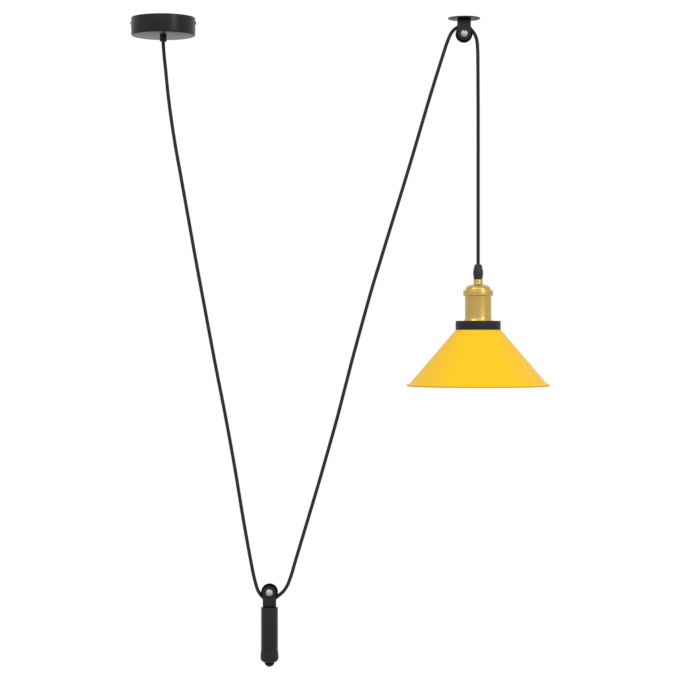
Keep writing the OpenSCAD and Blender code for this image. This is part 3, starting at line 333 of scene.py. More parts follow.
def prism(sides, radius, height):
    bm = bmesh.new()
    bmesh.ops.create_circle(bm, cap_ends=True, segments=sides, radius=radius)
    grown = bmesh.ops.extrude_face_region(bm, geom=bm.faces[:])["geom"]
    bmesh.ops.translate(bm, vec=(0, 0, height), verts=[g for g in grown if isinstance(g, bmesh.types.BMVert)])
    return tidy(bm)


def move(bm, vec=(0, 0, 0), turn=0, axis="X"):
    # turned about the origin first, in degrees, and then shifted
    bmesh.ops.rotate(bm, cent=(0, 0, 0), matrix=Matrix.Rotation(radians(turn), 3, axis), verts=bm.verts)
    bmesh.ops.translate(bm, vec=vec, verts=bm.verts)
    return bm


def together(*parts):
    whole = bmesh.new()
    for part in parts:
        mesh = bpy.data.meshes.new("part")
        part.to_mesh(mesh)
        part.free()
        whole.from_mesh(mesh)
        bpy.data.meshes.remove(mesh)
    return whole


def pressCross(bm, screw):
    # a driver's cross, pressed into the top of a screw head and shallower towards its ends
    for vert in bm.verts:
        across, along = sorted((abs(vert.co.x), abs(vert.co.y)))
        inside = across < screw["crossWidth"] / 2 and along < screw["cross"]
        if inside and vert.co.z > screw["crossFrom"]:
            vert.co.z -= screw["crossDepth"] * (1 - screw["crossSlope"] * along / screw["cross"])


def addPiece(name, bm, body, finish, slot, *nodes, sharp=32):
    bmesh.ops.scale(bm, vec=(mm, mm, mm), verts=bm.verts)
    mesh = bpy.data.meshes.new(name)
    bm.to_mesh(mesh)
    bm.free()
    mesh.shade_smooth()
    mesh.set_sharp_from_angle(angle=radians(sharp))
    mesh.materials.append(finishes[finish])
    piece = bpy.data.objects.new(name, mesh)
    bpy.context.scene.collection.objects.link(piece)
    if body:
        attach(piece, body)
    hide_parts(*nodes)
    return piece


def softEdges(piece, width):
    bevel = piece.modifiers.new("softEdges", "BEVEL")
    bevel.width = width * mm
    bevel.segments = 2
    bevel.limit_method = "ANGLE"
    bevel.angle_limit = radians(35)
    bevel.harden_normals = True


# the cord runs in three stretches between the rose, the counterweight, the pulley and the lamp
cord = dict(diameter=0.0054, sides=20, ringStep=0.0025, lead=0.004, fineSteps=12, pathEvery=4)
# the routes are [x, z] in metres, in the plane y = 0
roseRun = [
    [0, -0.037], [0.0002, -0.043], [0.0015, -0.06], [0.0038, -0.082], [0.0076, -0.12], [0.0128, -0.16],
    [0.019, -0.2], [0.0258, -0.238], [0.0369, -0.3], [0.0512, -0.38], [0.0661, -0.46], [0.0811, -0.54],
    [0.0968, -0.62], [0.1113, -0.7], [0.1242, -0.778], [0.133, -0.828], [0.1396, -0.863],
    [0.1416, -0.8725], [0.1433, -0.8795], [0.1449, -0.8854], [0.1472, -0.8926], [0.1486, -0.8958],
    [0.1503, -0.8985], [0.1528, -0.9018], [0.1555, -0.9046], [0.1584, -0.9075], [0.162, -0.9094],
    [0.166, -0.91],
]
middleRun = [
    [0.166, -0.91], [0.17, -0.9094], [0.1736, -0.9075], [0.1771, -0.9049], [0.1806, -0.902],
    [0.1843, -0.899], [0.1874, -0.8961], [0.1899, -0.893], [0.1938, -0.8868], [0.1963, -0.881],
    [0.2005, -0.869], [0.206, -0.85], [0.2138, -0.824], [0.2288, -0.774], [0.2437, -0.724],
    [0.258, -0.674], [0.272, -0.624], [0.2849, -0.574], [0.2979, -0.524], [0.3116, -0.474],
    [0.3256, -0.424], [0.3408, -0.374], [0.3568, -0.322], [0.3723, -0.272], [0.3875, -0.222],
    [0.4022, -0.172], [0.417, -0.122], [0.43, -0.08], [0.4415, -0.044], [0.4444, -0.036],
    [0.4472, -0.029], [0.4504, -0.023], [0.4543, -0.0184], [0.459, -0.015], [0.4643, -0.0127],
    [0.47, -0.0117],
]
lampDrop = [
    [0.47, -0.0117], [0.4745, -0.0124], [0.4782, -0.0147], [0.4812, -0.0182], [0.4839, -0.0213],
    [0.4862, -0.0245], [0.488, -0.0282], [0.4894, -0.0322], [0.4903, -0.0366], [0.4909, -0.0425],
    [0.4914, -0.052], [0.4916, -0.064], [0.4918, -0.1], [0.492, -0.15], [0.492, -0.22], [0.492, -0.32],
    [0.492, -0.385],
]


def smoothPath(route, first, last, step):
    # a smooth line through the route, with the given headings at its ends, cut into even steps
    points = [Vector((x, 0, z)) for x, z in route]
    before, after = Vector(first) * cord["lead"], Vector(last) * cord["lead"]
    points = [points[0] - before, *points, points[-1] + after]
    fine = []
    for a, b, c, d in zip(points, points[1:], points[2:], points[3:]):
        leave = (c - a) * ((c - b).length / ((b - a).length + (c - b).length))
        arrive = (d - b) * ((c - b).length / ((c - b).length + (d - c).length))
        for i in range(cord["fineSteps"]):
            t = i / cord["fineSteps"]
            fine.append(
                (2 * t**3 - 3 * t**2 + 1) * b + (t**3 - 2 * t**2 + t) * leave
                + (3 * t**2 - 2 * t**3) * c + (t**3 - t**2) * arrive
            )
    fine.append(points[-2])
    total = sum((b - a).length for a, b in zip(fine, fine[1:]))
    count = round(total / step)
    even, walked, target = [fine[0]], 0.0, total / count
    for a, b in zip(fine, fine[1:]):
        span = (b - a).length
        while walked + span >= target * len(even) - 1e-9 and len(even) < count:
            even.append(a.lerp(b, (target * len(even) - walked) / span))
        walked += span
    return even + [fine[-1]], total


def ringPlace(path, i, first, last):
    ahead = path[i + 1] - path[i - 1] if 0 < i < len(path) - 1 else Vector(first if i == 0 else last)
    ahead.normalize()
    across = Vector((0, 1, 0))
    side = ahead.cross(across)
    turn = Matrix((side, across, ahead)).transposed().to_4x4()
    return Matrix.Translation(path[i]) @ turn


def makeCord(name, route, first, last, bodies, start, end, node):
    path, length = smoothPath(route, first, last, cord["ringStep"])
    bm = bmesh.new()
    rank = bm.verts.layers.int.new("rank")
    place = ringPlace(path, 0, first, last)
    bmesh.ops.create_circle(bm, segments=cord["sides"], radius=cord["diameter"] / 2, matrix=place)
    seat = bm.verts.layers.int.new("seat")
    for i, vert in enumerate(bm.verts):
        vert[seat] = i
    ring = bm.edges[:]
    for i in range(1, len(path)):
        grown = bmesh.ops.extrude_edge_only(bm, edges=ring)["geom"]
        fresh = [g for g in grown if isinstance(g, bmesh.types.BMVert)]
        newPlace = ringPlace(path, i, first, last)
        bmesh.ops.transform(bm, matrix=newPlace @ place.inverted(), verts=fresh)
        for vert in fresh:
            vert[rank] = i
        edges = [g for g in grown if isinstance(g, bmesh.types.BMEdge)]
        ring = [e for e in edges if e.verts[0][rank] == e.verts[1][rank]]
        place = newPlace
    bmesh.ops.holes_fill(bm, edges=[e for e in bm.edges if e.is_boundary], sides=0)
    bmesh.ops.recalc_face_normals(bm, faces=bm.faces)
    braidMap = bm.loops.layers.uv.new("braid")
    for face in bm.faces:
        seats = [loop.vert[seat] for loop in face.loops]
        wraps = max(seats) - min(seats) > cord["sides"] / 2
        for loop, number in zip(face.loops, seats):
            around = number + cord["sides"] if wraps and number < cord["sides"] / 2 else number
            loop[braidMap].uv = (around / cord["sides"], loop.vert[rank] * length / (len(path) - 1))
    bmesh.ops.scale(bm, vec=(1 / mm, 1 / mm, 1 / mm), verts=bm.verts)
    piece = addPiece(name, bm, None, "braid", "braid", node)
    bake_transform(piece)
    path[::cord["pathEvery"]] + [path[-1]]
    print(name, "is", round(length, 3), "m long")


down, right = (0, 0, -1), (1, 0, 0)
# headings at both ends, the bodies that carry them, and where the cord leaves one for the other
cordRuns = dict(
    cordRoseRun=dict(
        route=roseRun, first=down, last=right, bodies=("root", "counterweight"),
        start=(0, 0, -0.05), end=(0, 0, -0.88), node="cord_rose_run",
    ),
    cordMiddleRun=dict(
        route=middleRun, first=right, last=right, bodies=("counterweight", "root"),
        start=(0, 0, -0.87), end=(0, 0, -0.05), node="cord_middle_run",
    ),
    cordLampDrop=dict(
        route=lampDrop, first=right, last=down, bodies=("root", "lamp"),
        start=(0, 0, -0.06), end=(0, 0, -0.384), node="cord_lamp_drop",
    ),
)
for name, run in cordRuns.items():
    makeCord(name, **run)

# the ceiling rose: cup, side screws and cord grip
roseCup = dict(radius=50, height=28, wall=1.2, edge=2.2, hole=4.65, rim=0.35)
sideScrew = dict(
    radius=3.5, height=1.4, depth=8, shank=2, length=9, tip=0.4,
    cross=1.9, crossWidth=0.9, crossDepth=0.9, crossFrom=0.3, crossSlope=0.5,
)
roseGrip = dict(
    radius=5.35, height=9, edge=1.3, mouth=0.5, collar=0.5, bore=2.6, thread=4.5,
    nippleTop=-22.8, tip=0.4, tipInner=0.2,
)


def makeRose(cup, screw, grip):
    inner, low = cup["radius"] - cup["wall"], -cup["height"]
    floorTop = low + cup["wall"]
    addPiece("roseCup", lathe([
        (inner, 0, cup["rim"]), (cup["radius"], 0, cup["rim"]), (cup["radius"], low, cup["edge"]),
        (cup["hole"], low), (cup["hole"], floorTop), (inner, floorTop, cup["edge"] - cup["wall"]),
    ], steps=160), "root", "satinBlack", "black_paint", "rose_cup")

    heads = []
    for side in (-1, 1):
        head = lathe([(0, 0), *domeLine(screw["radius"], screw["height"], screw["height"])], steps=64)
        pressCross(head, screw)
        shank = lathe([
            (0, -screw["length"]), (screw["shank"], -screw["length"], screw["tip"]),
            (screw["shank"], 0), (0, 0),
        ], steps=32)
        whole = move(together(head, shank), turn=90 * side, axis="Y")
        heads.append(move(whole, (side * cup["radius"], 0, -screw["depth"])))
    addPiece("roseSideScrews", together(*heads), "root", "satinBlack", "black_paint", "rose_side_screws")

    foot, top = low - grip["height"], grip["nippleTop"]
    addPiece("roseCordGrip", lathe([
        (grip["bore"], foot, grip["mouth"]), (grip["radius"], foot, grip["edge"]),
        (grip["radius"], low, grip["collar"]), (grip["thread"], low),
        (grip["thread"], top, grip["tip"]), (grip["bore"], top, grip["tipInner"]),
    ], steps=64), "root", "blackPlastic", "black_plastic", "rose_cord_grip")


makeRose(roseCup, sideScrew, roseGrip)
print("rose ready")

# each pulley is a bent fork, a grooved wheel and the axle's bolt, washers and closed nut
ceilingDisc = dict(radius=25, thickness=1.5, spacing=36, hole=2.25, sink=1.0, middle=2.65, rim=0.4)
# heights of the axle and of the fork's seat, the hole in that seat, and the body that carries the fork
pulleys = dict(
    ceiling=dict(
        x=470, axle=-25, seat=-ceilingDisc["thickness"], seatHole=ceilingDisc["middle"],
        upsideDown=True, body="root",
    ),
    weight=dict(x=166, axle=-897, seat=-920.5, seatHole=3.15, upsideDown=False, body="counterweight"),
)


def punchedPlate(outline, holes, folds=()):
    # a flat blank with round holes, with spare cuts where it will be bent
    bm = bmesh.new()
    rim = [bm.verts.new((x, y, 0)) for x, y in outline]
    for a, b in zip(rim, rim[1:] + rim[:1]):
        bm.edges.new((a, b))
    for x, y, radius in holes:
        bmesh.ops.create_circle(bm, segments=40, radius=radius, matrix=Matrix.Translation((x, y, 0)))
    bmesh.ops.triangle_fill(bm, use_beauty=True, use_dissolve=False, edges=bm.edges[:])
    bmesh.ops.dissolve_limit(bm, angle_limit=0.01, verts=bm.verts[:], edges=bm.edges[:])
    for y in folds:
        everything = bm.verts[:] + bm.edges[:] + bm.faces[:]
        bmesh.ops.bisect_plane(bm, geom=everything, plane_co=(0, y, 0), plane_no=(0, 1, 0))
    for face in bm.faces:
        if face.normal.z > 0:
            face.normal_flip()
    return bm


def thicken(bm, thickness):
    # the wall grows inwards, away from the way the faces look
    bm.normal_update()
    bmesh.ops.solidify(bm, geom=bm.faces[:], thickness=thickness)
    return bm


fork = dict(
    width=20.5, thickness=2, gap=13, bend=3.2, bendSteps=8, reach=23.5, endSteps=32, axleHole=3.15, edge=0.3,
)


def makeFork(name, shape, place, node):
    outer, bend = shape["gap"] / 2 + shape["thickness"], shape["bend"]
    flat = outer - bend
    quarter = bend * pi / 2
    axleAt = flat + quarter + shape["reach"] - bend
    ends = arc((0, axleAt), (shape["width"] / 2,) * 2, 0, 180, shape["endSteps"])
    outline = ends + [(-x, -y) for x, y in ends]
    holes = [(0, axleAt, shape["axleHole"]), (0, -axleAt, shape["axleHole"]), (0, 0, place["seatHole"])]
    steps = [flat + quarter * i / shape["bendSteps"] for i in range(shape["bendSteps"] + 1)]
    bm = punchedPlate(outline, holes, steps + [-s for s in steps])
    for vert in bm.verts:
        side, run = (1 if vert.co.y > 0 else -1), abs(vert.co.y)
        turn = min(max(run - flat, 0) / bend, pi / 2)
        vert.co.y = side * (min(run, flat) + bend * sin(turn))
        vert.co.z = bend * (1 - cos(turn)) + max(run - flat - quarter, 0)
    thicken(bm, shape["thickness"])
    move(bm, turn=180 if place["upsideDown"] else 0)
    move(bm, (place["x"], 0, place["seat"]))
    softEdges(addPiece(name, bm, place["body"], "forkBlack", "black_paint", node), shape["edge"])


axle = dict(
    radius=3, tip=0.4, headRadius=5.5, headHeight=3.2, headEdge=0.15, skirt=0.5,
    washer=7.75, washerThickness=1, washerEdge=0.25, washerInner=0.2,
)
nut = dict(acrossFlats=10, height=4.5, edge=0.35, dome=4.6, domeHeight=3.68, overlap=0.5)


def makeAxle(prefix, where, body):
    outer = fork["gap"] / 2 + fork["thickness"]
    face = outer + axle["washerThickness"]
    end = -2 * face - nut["height"]
    head = domeLine(axle["headRadius"], axle["headHeight"] - axle["skirt"], axle["headHeight"])
    bolt = lathe([
        (0, end), (axle["radius"], end, axle["tip"]), (axle["radius"], 0),
        (axle["headRadius"], 0, axle["headEdge"]), *head,
    ], steps=64)
    move(move(bolt, (0, -face, 0), turn=90), where)
    addPiece(prefix + "AxleBolt", bolt, body, "brightSteel", "bright_steel", prefix + "_axle_bolt")

    hole, thick = fork["axleHole"], axle["washerThickness"]
    washers = []
    for side in (-1, 1):
        ring = lathe([
            (hole, 0), (axle["washer"], 0, axle["washerInner"]),
            (axle["washer"], thick, axle["washerEdge"]), (hole, thick, axle["washerInner"]),
        ], steps=64)
        washers.append(move(move(ring, (0, side * outer, 0), turn=-90 * side), where))
    pair = together(*washers)
    addPiece(prefix + "AxleWashers", pair, body, "forkBlack", "black_paint", prefix + "_axle_washers")

    flats = move(prism(6, nut["acrossFlats"] / 2 / cos(pi / 6), nut["height"]), turn=90, axis="Z")
    roundOff(flats, sharpEdges(flats), nut["edge"])
    capLow = nut["height"] - nut["overlap"]
    cap = lathe([
        (0, capLow), (nut["dome"], capLow),
        *arc((0, nut["height"]), (nut["dome"], nut["domeHeight"]), 0, 90, 12)[:-1],
        (0, nut["height"] + nut["domeHeight"]),
    ], steps=48)
    closed = move(move(together(flats, cap), (0, face, 0), turn=-90), where)
    addPiece(prefix + "AxleNut", closed, body, "brightSteel", "bright_steel", prefix + "_axle_nut")


wheel = dict(
    bore=4.05, boreEdge=0.2, hub=6.5, hubHalf=6.3, hubEdge=0.3, dish=0.5,
    radius=13.1, rimHalf=5.5, rimEdge=0.5, mouthHalf=4.3, mouthEdge=0.3,
    root=10.1, grooveRadius=2.8, grooveReach=35,
)


def makeWheel(name, shape, where, body, node):
    radius, bend, reach = shape["radius"], shape["grooveRadius"], shape["grooveReach"]
    groove = arc((shape["root"] + bend, 0), (bend, bend), 180 + reach, 180 - reach, 12)
    half = [
        (shape["bore"], -shape["hubHalf"], shape["boreEdge"]),
        (shape["hub"], -shape["hubHalf"], shape["hubEdge"]),
        (shape["hub"] + shape["dish"], -shape["rimHalf"]),
        (radius, -shape["rimHalf"], shape["rimEdge"]), (radius, -shape["mouthHalf"], shape["mouthEdge"]),
    ]
    otherHalf = [(r, -z, *edge) for r, z, *edge in reversed(half)]
    bm = lathe([*half, *groove, *otherHalf], steps=96)
    # the wheel's finish is black nylon darkened with painted shade for the fork around it
    addPiece(name, move(move(bm, turn=90), where), body, "wheelPlasticShaded", "black_plastic", node)


def makeDisc(shape):
    half, thick = shape["spacing"] / 2, shape["thickness"]
    level, reach = 0.01, shape["hole"] + 0.1  # a corner this close counts as on the hole's lower edge
    rim = arc((0, 0), (shape["radius"],) * 2, 0, 360, 120)[:-1]
    holes = [(-half, 0, shape["hole"]), (half, 0, shape["hole"]), (0, 0, shape["middle"])]
    bm = thicken(punchedPlate(rim, holes), thick)
    low = min(v.co.z for v in bm.verts)
    bmesh.ops.translate(bm, vec=(0, 0, -thick - low), verts=bm.verts)
    # the two screw holes are countersunk from below
    for x in (-half, half):
        mouth = []
        for edge in sharpEdges(bm):
            below = all(abs(v.co.z + thick) < level for v in edge.verts)
            if below and all((v.co.xy - Vector((x, 0))).length < reach for v in edge.verts):
                mouth.append(edge)
        roundOff(bm, mouth, shape["sink"], segments=1)
    move(bm, (pulleys["ceiling"]["x"], 0, 0))
    softEdges(addPiece("ceilingDisc", bm, "root", "forkBlack", "black_paint", "ceiling_disc"), shape["rim"])


makeDisc(ceilingDisc)
for name, place in pulleys.items():
    axleAt = (place["x"], 0, place["axle"])
    makeFork(name + "Fork", fork, place, name + "_fork")
    makeAxle(name, axleAt, place["body"])
    makeWheel(name + "Wheel", wheel, axleAt, name + "_wheel", name + "_wheel")
print("pulleys ready")

# the counterweight: cylinder, end cap and finial
weight = dict(
    top=pulleys["weight"]["seat"], hole=pulleys["weight"]["seatHole"], radius=13.25, length=67.5,
    chamfer=0.6, seamGap=0.1, seamIn=0.15, seamUp=0.5, seamEdge=0.1,
    lip=0.1, lipEdge=0.15, flare=8, flareFoot=0.3, capRadius=14.3, band=3, bandEdge=1.2, shoulder=7,
    foot=8.7, footEdge=0.3, finial=7.8, finialHeight=7.5, finialBand=0.6, finialEdge=0.25,
)


def atWeight(bm):
    return move(bm, (pulleys["weight"]["x"], 0, 0))


def makeWeight(shape):
    hole, top, radius = shape["hole"], shape["top"], shape["radius"]
    capTop = top - shape["length"]
    bandTop = capTop - shape["flare"]
    bandLow = bandTop - shape["band"]
    footZ = bandLow - shape["shoulder"]
    seam, band = capTop + shape["seamGap"], shape["finialBand"]
    cylinder = atWeight(lathe([
        (hole, seam), (radius - shape["seamIn"], seam, shape["seamEdge"]), (radius, capTop + shape["seamUp"]),
        (radius, top, shape["chamfer"]), (hole, top),
    ], steps=96))
    addPiece("weightCylinder", cylinder, "counterweight", "weightBlack", "black_paint", "weight_cylinder")

    foot = shape["foot"]
    cap = atWeight(lathe([
        (hole, footZ), (foot, footZ, shape["footEdge"]),
        *arc((foot, bandLow), (shape["capRadius"] - foot, shape["shoulder"]), -86, 0, 10),
        (shape["capRadius"], bandTop + shape["flareFoot"], shape["bandEdge"]),
        (radius + shape["lip"], capTop, shape["lipEdge"]), (hole, capTop),
    ], steps=96))
    addPiece("weightEndCap", cap, "counterweight", "weightBlack", "black_paint", "weight_end_cap")

    finial = atWeight(lathe([
        (0, footZ), (shape["finial"], footZ, shape["finialEdge"]),
        *arc((0, footZ - band), (shape["finial"], shape["finialHeight"] - band), 0, -90, 14)[1:-1],
        (0, footZ - shape["finialHeight"]),
    ], steps=64))
    # the finial's finish carries painted shade for its downward face
    addPiece("weightFinial", finial, "counterweight", "finialBlackShaded", "black_paint", "weight_finial")


makeWeight(weight)
print("counterweight ready")

# the lamp: cord grip, brass holder, clamp ring, shade and what is inside it
lampX = 492


def atLamp(bm):
    return move(bm, (lampX, 0, 0))


lampGrip = dict(
    top=-385, topRadius=5.4, topEdge=1.2, mouth=0.25, radius=7.95, joint=-398, seam=0.25, seamEdge=0.15,
    capBand=1.2, capEdge=0.8, capHollow=8.3, slack=0.05, bore=2.6, thread=4.5, threadHigh=8,
    bodyBand=1, bodyEdge=0.6, foot=-408.5, footRadius=6.6, nipple=5, nippleLow=-422.8, tip=0.3,
)


def makeLampGrip(grip):
    joint, low, bore, thread = grip["joint"], grip["nippleLow"], grip["bore"], grip["thread"]
    hollow, hollowTop = thread + grip["slack"], joint + grip["capHollow"]
    seam = (grip["radius"] - grip["seam"], joint, grip["seamEdge"])
    cap = lathe([
        (bore, grip["top"], grip["mouth"]), (grip["topRadius"], grip["top"], grip["topEdge"]),
        (grip["radius"], joint + grip["capBand"], grip["capEdge"]), seam,
        (hollow, joint), (hollow, hollowTop), (bore, hollowTop),
    ], steps=64)
    body = lathe([
        (bore, joint + grip["threadHigh"]), (thread, joint + grip["threadHigh"]), (thread, joint),
        seam, (grip["radius"], joint - grip["bodyBand"], grip["bodyEdge"]),
        (grip["footRadius"], grip["foot"], grip["tip"]), (grip["nipple"], grip["foot"]),
        (grip["nipple"], low, grip["tip"]), (bore, low),
    ], steps=64)
    addPiece("lampGripCap", atLamp(cap), "lamp", "gripPlastic", "black_plastic", "lamp_grip_cap")
    addPiece("lampGripBody", atLamp(body), "lamp", "gripPlastic", "black_plastic", "lamp_grip_body")


dome = dict(
    top=-408.5, bore=5.15, boreEdge=0.3, neck=7.1, neckEdge=0.45, neckHeight=5.5, sweep=3, shoulder=8.5,
    radius=20, wall=1, slack=0.05, skirtLow=-438,
)
shell = dict(
    top=-425.5, length=47.8, radius=20.6, wall=0.8, band=23.35, bandHeight=8.8, bandEdge=1.2,
    bandStep=0.2, bandFoot=0.3, ledge=15, ledgeHeight=1.5, ledgeRadius=18.85, ledgeEdge=0.2,
    flare=5, flareBend=2.0, flareOut=1.7, middleOut=0.3, middleUp=0.45, middleBend=1.0,
    lipEdge=0.25, lipInner=0.2,
)


def makeHolder(dome, shell):
    neckLow = dome["top"] - dome["neckHeight"]
    sweepLow = neckLow - dome["sweep"]
    low = sweepLow - dome["shoulder"]
    inward = dome["neck"] + dome["sweep"]
    wide, tall = dome["radius"] - inward, dome["shoulder"]
    thread = shell["radius"] - shell["wall"] - dome["slack"]
    addPiece("holderDome", atLamp(lathe([
        (dome["bore"], dome["top"], dome["boreEdge"]), (dome["neck"], dome["top"], dome["neckEdge"]),
        *arc((inward, neckLow), (dome["sweep"],) * 2, 180, 270, 10),
        *arc((inward, low), (wide, tall), 88, 0, 16),
        (thread, low), (thread, dome["skirtLow"]), (thread - dome["wall"], dome["skirtLow"]),
        *arc((inward, low), (wide - dome["wall"], tall - dome["wall"]), 0, 90, 12),
        (dome["bore"], sweepLow - dome["wall"]),
    ], steps=128)), "lamp", "brass", "brass", "holder_dome")

    # the shell's mouth flares out in two bends, and a ledge inside carries the socket
    top, outer, inner = shell["top"], shell["radius"], shell["radius"] - shell["wall"]
    bottom, bandLow = top - shell["length"], top - shell["bandHeight"]
    flareTop, bend = bottom + shell["flare"], shell["flareBend"]
    middleOut, middleZ = shell["middleOut"] * shell["flareOut"], bottom + shell["middleUp"] * shell["flare"]
    lip = outer + shell["flareOut"]
    ledgeTop, ledge = top - shell["ledge"], shell["ledgeRadius"]
    ledgeLow = ledgeTop - shell["ledgeHeight"]
    addPiece("holderShell", atLamp(lathe([
        (inner, top), (shell["band"], top, shell["bandEdge"]), (shell["band"], bandLow, shell["bandEdge"]),
        (outer, bandLow + shell["bandStep"], shell["bandFoot"]),
        (outer, flareTop, bend), (outer + middleOut, middleZ, shell["middleBend"]),
        (lip, bottom, shell["lipEdge"]), (lip - shell["wall"], bottom, shell["lipInner"]),
        (inner + middleOut, middleZ, shell["middleBend"]), (inner, flareTop, bend),
        (inner, ledgeLow), (ledge, ledgeLow, shell["ledgeEdge"]), (ledge, ledgeTop, shell["ledgeEdge"]),
        (inner, ledgeTop),
    ], steps=128)), "lamp", "brass", "brass", "holder_shell")


clampRing = dict(
    top=-473.3, radius=35.25, height=14, wall=2.5, edge=0.8, inner=0.2, bore=18.85,
    ribs=6, ribThickness=1.6, ribEdge=0.3, ribLift=1, ribSunk=0.5,
)


def makeClampRing(ring):
    low, wall, sunk = ring["top"] - ring["height"], ring["wall"], ring["ribSunk"]
    bore, radius, under = ring["bore"], ring["radius"], ring["top"] - wall
    hub, rim = bore + wall - sunk, radius - wall + sunk
    tall = ring["height"] - wall - ring["ribLift"] + sunk
    ribs = []
    for i in range(ring["ribs"]):
        rib = bmesh.new()
        bmesh.ops.create_cube(rib, size=1)
        bmesh.ops.scale(rib, vec=(rim - hub, ring["ribThickness"], tall), verts=rib.verts)
        roundOff(rib, [e for e in rib.edges if all(v.co.z < 0 for v in e.verts)], ring["ribEdge"])
        move(rib, ((rim + hub) / 2, 0, low + ring["ribLift"] + tall / 2))
        ribs.append(move(rib, turn=i * 360 / ring["ribs"], axis="Z"))
    body = lathe([
        (bore, ring["top"], ring["inner"]), (radius, ring["top"], ring["edge"]),
        (radius, low, ring["edge"]), (radius - wall, low, ring["inner"]),
        (radius - wall, under), (bore + wall, under), (bore + wall, low), (bore, low, ring["inner"]),
    ], steps=144)
    whole = atLamp(together(body, *ribs))
    addPiece("shadeClampRing", whole, "lamp", "blackPlastic", "black_plastic", "shade_clamp_ring")


shade = dict(
    top=-487.3, hole=18.85, shoulder=35.25, bend=1.5, bendIn=0.4, low=-570, lowRadius=105.9,
    flare=(107.2, -571.3), flareSteps=6, roll=(109.8, -573.8), rollRadius=1.8, rollEnd=-210,
    wall=1, rim=0.3, steps=180,
)


def makeShade(cone):
    bend, roll, steps = cone["bend"], cone["rollRadius"], cone["flareSteps"]
    slope = degrees(atan2(cone["top"] - cone["low"], cone["lowRadius"] - cone["shoulder"]))
    corner = (cone["shoulder"] - cone["bendIn"] * bend, cone["top"] - bend)
    line = [(cone["hole"], cone["top"]), *arc(corner, (bend, bend), 90, 90 - slope, 6)]
    # the lip leaves the cone in a short flare and is rolled under into a bead
    start, pull = Vector((cone["lowRadius"], cone["low"])), Vector(cone["flare"])
    end = Vector(cone["roll"]) + Vector((0, roll))
    for i in range(steps):
        t = i / steps
        line.append(tuple((1 - t) ** 2 * start + 2 * t * (1 - t) * pull + t * t * end))
    line += arc(cone["roll"], (roll, roll), 90, cone["rollEnd"], 18)
    bm = bmesh.new()
    chain = [bm.verts.new((r, 0, z)) for r, z in line]
    for pair in zip(chain, chain[1:]):
        bm.edges.new(pair)
    bmesh.ops.spin(
        bm, geom=bm.verts[:] + bm.edges[:], cent=(0, 0, 0), axis=(0, 0, 1),
        angle=2 * pi, steps=cone["steps"], use_merge=True,
    )
    tidy(bm)
    if sum(f.normal.z for f in bm.faces) < 0:
        bmesh.ops.reverse_faces(bm, faces=bm.faces)
    thicken(bm, cone["wall"])
    rim = [e for e in sharpEdges(bm, angle=50) if min(v.co.xy.length for v in e.verts) > cone["lowRadius"]]
    roundOff(bm, rim, cone["rim"], segments=3)
    addPiece("shadeCone", atLamp(bm), "lamp", "yellow", "yellow_enamel", "shade", sharp=40)


socket = dict(
    top=-438, flange=19.65, edge=0.3, lip=-440.5, skirt=18.7, low=-497.8, bore=13.8, mouth=0.8,
    shelf=-471.3, recess=9.5, recessTop=-466.3, recessEdge=0.5,
)


def makeSocket(socket):
    edge, mouth, recess = socket["edge"], socket["mouth"], socket["recess"]
    addPiece("holderSocket", atLamp(lathe([
        (0, socket["top"]), (socket["flange"], socket["top"], edge), (socket["flange"], socket["lip"]),
        (socket["skirt"], socket["lip"]), (socket["skirt"], socket["low"], mouth),
        (socket["bore"], socket["low"], mouth), (socket["bore"], socket["shelf"]),
        (recess, socket["shelf"], edge), (recess, socket["recessTop"], socket["recessEdge"]),
        (0, socket["recessTop"]),
    ], steps=96)), "lamp", "blackPlastic", "black_plastic", "holder_socket")


screwShell = dict(
    low=-494.8, high=-471.3, pitch=3.629, middle=13.4, depth=0.7, wall=0.3, steps=48, waves=10, spareTurns=3,
)


def makeScrewShell(screw):
    # the rolled thread is one wave of the wall, wound up the axis and trimmed at both ends
    low, high, pitch, spare = screw["low"], screw["high"], screw["pitch"], screw["spareTurns"]
    turns = int((high - low) / pitch) + spare
    bm = bmesh.new()
    wave = []
    for i in range(screw["waves"] + 1):
        part = i / screw["waves"]
        radius = screw["middle"] - screw["depth"] / 2 * cos(2 * pi * part)
        wave.append(bm.verts.new((radius, 0, low + (part - spare / 2) * pitch)))
    for pair in zip(wave, wave[1:]):
        bm.edges.new(pair)
    bmesh.ops.spin(
        bm, geom=bm.verts[:] + bm.edges[:], cent=(0, 0, 0), axis=(0, 0, 1), angle=2 * pi * turns,
        steps=turns * screw["steps"], dvec=(0, 0, pitch / screw["steps"]), use_merge=False,
    )
    bmesh.ops.remove_doubles(bm, verts=bm.verts, dist=0.002)
    bmesh.ops.recalc_face_normals(bm, faces=bm.faces)
    middle = bm.faces[:][len(bm.faces) // 2]
    if middle.normal.dot(middle.calc_center_median().xy.to_3d()) < 0:
        bmesh.ops.reverse_faces(bm, faces=bm.faces)
    thicken(bm, screw["wall"])
    for height, facing in ((low, -1), (high, 1)):
        everything = bm.verts[:] + bm.edges[:] + bm.faces[:]
        bmesh.ops.bisect_plane(
            bm, geom=everything, plane_co=(0, 0, height), plane_no=(0, 0, facing), clear_outer=True
        )
        bmesh.ops.bridge_loops(bm, edges=[e for e in bm.edges if e.is_boundary])
    addPiece("bulbScrewShell", atLamp(bm), "lamp", "contactBrass", "brass", "bulb_screw_shell", sharp=50)


lockRing = dict(
    top=-488.3, height=8, flange=27, flangeThickness=2.5, flangeEdge=0.4, edge=0.3, collar=22.5, footEdge=0.5,
    bore=18.75, boreEdge=0.4, notches=12, notch=1.2, notchBand=0.6, notchHalf=4,
)


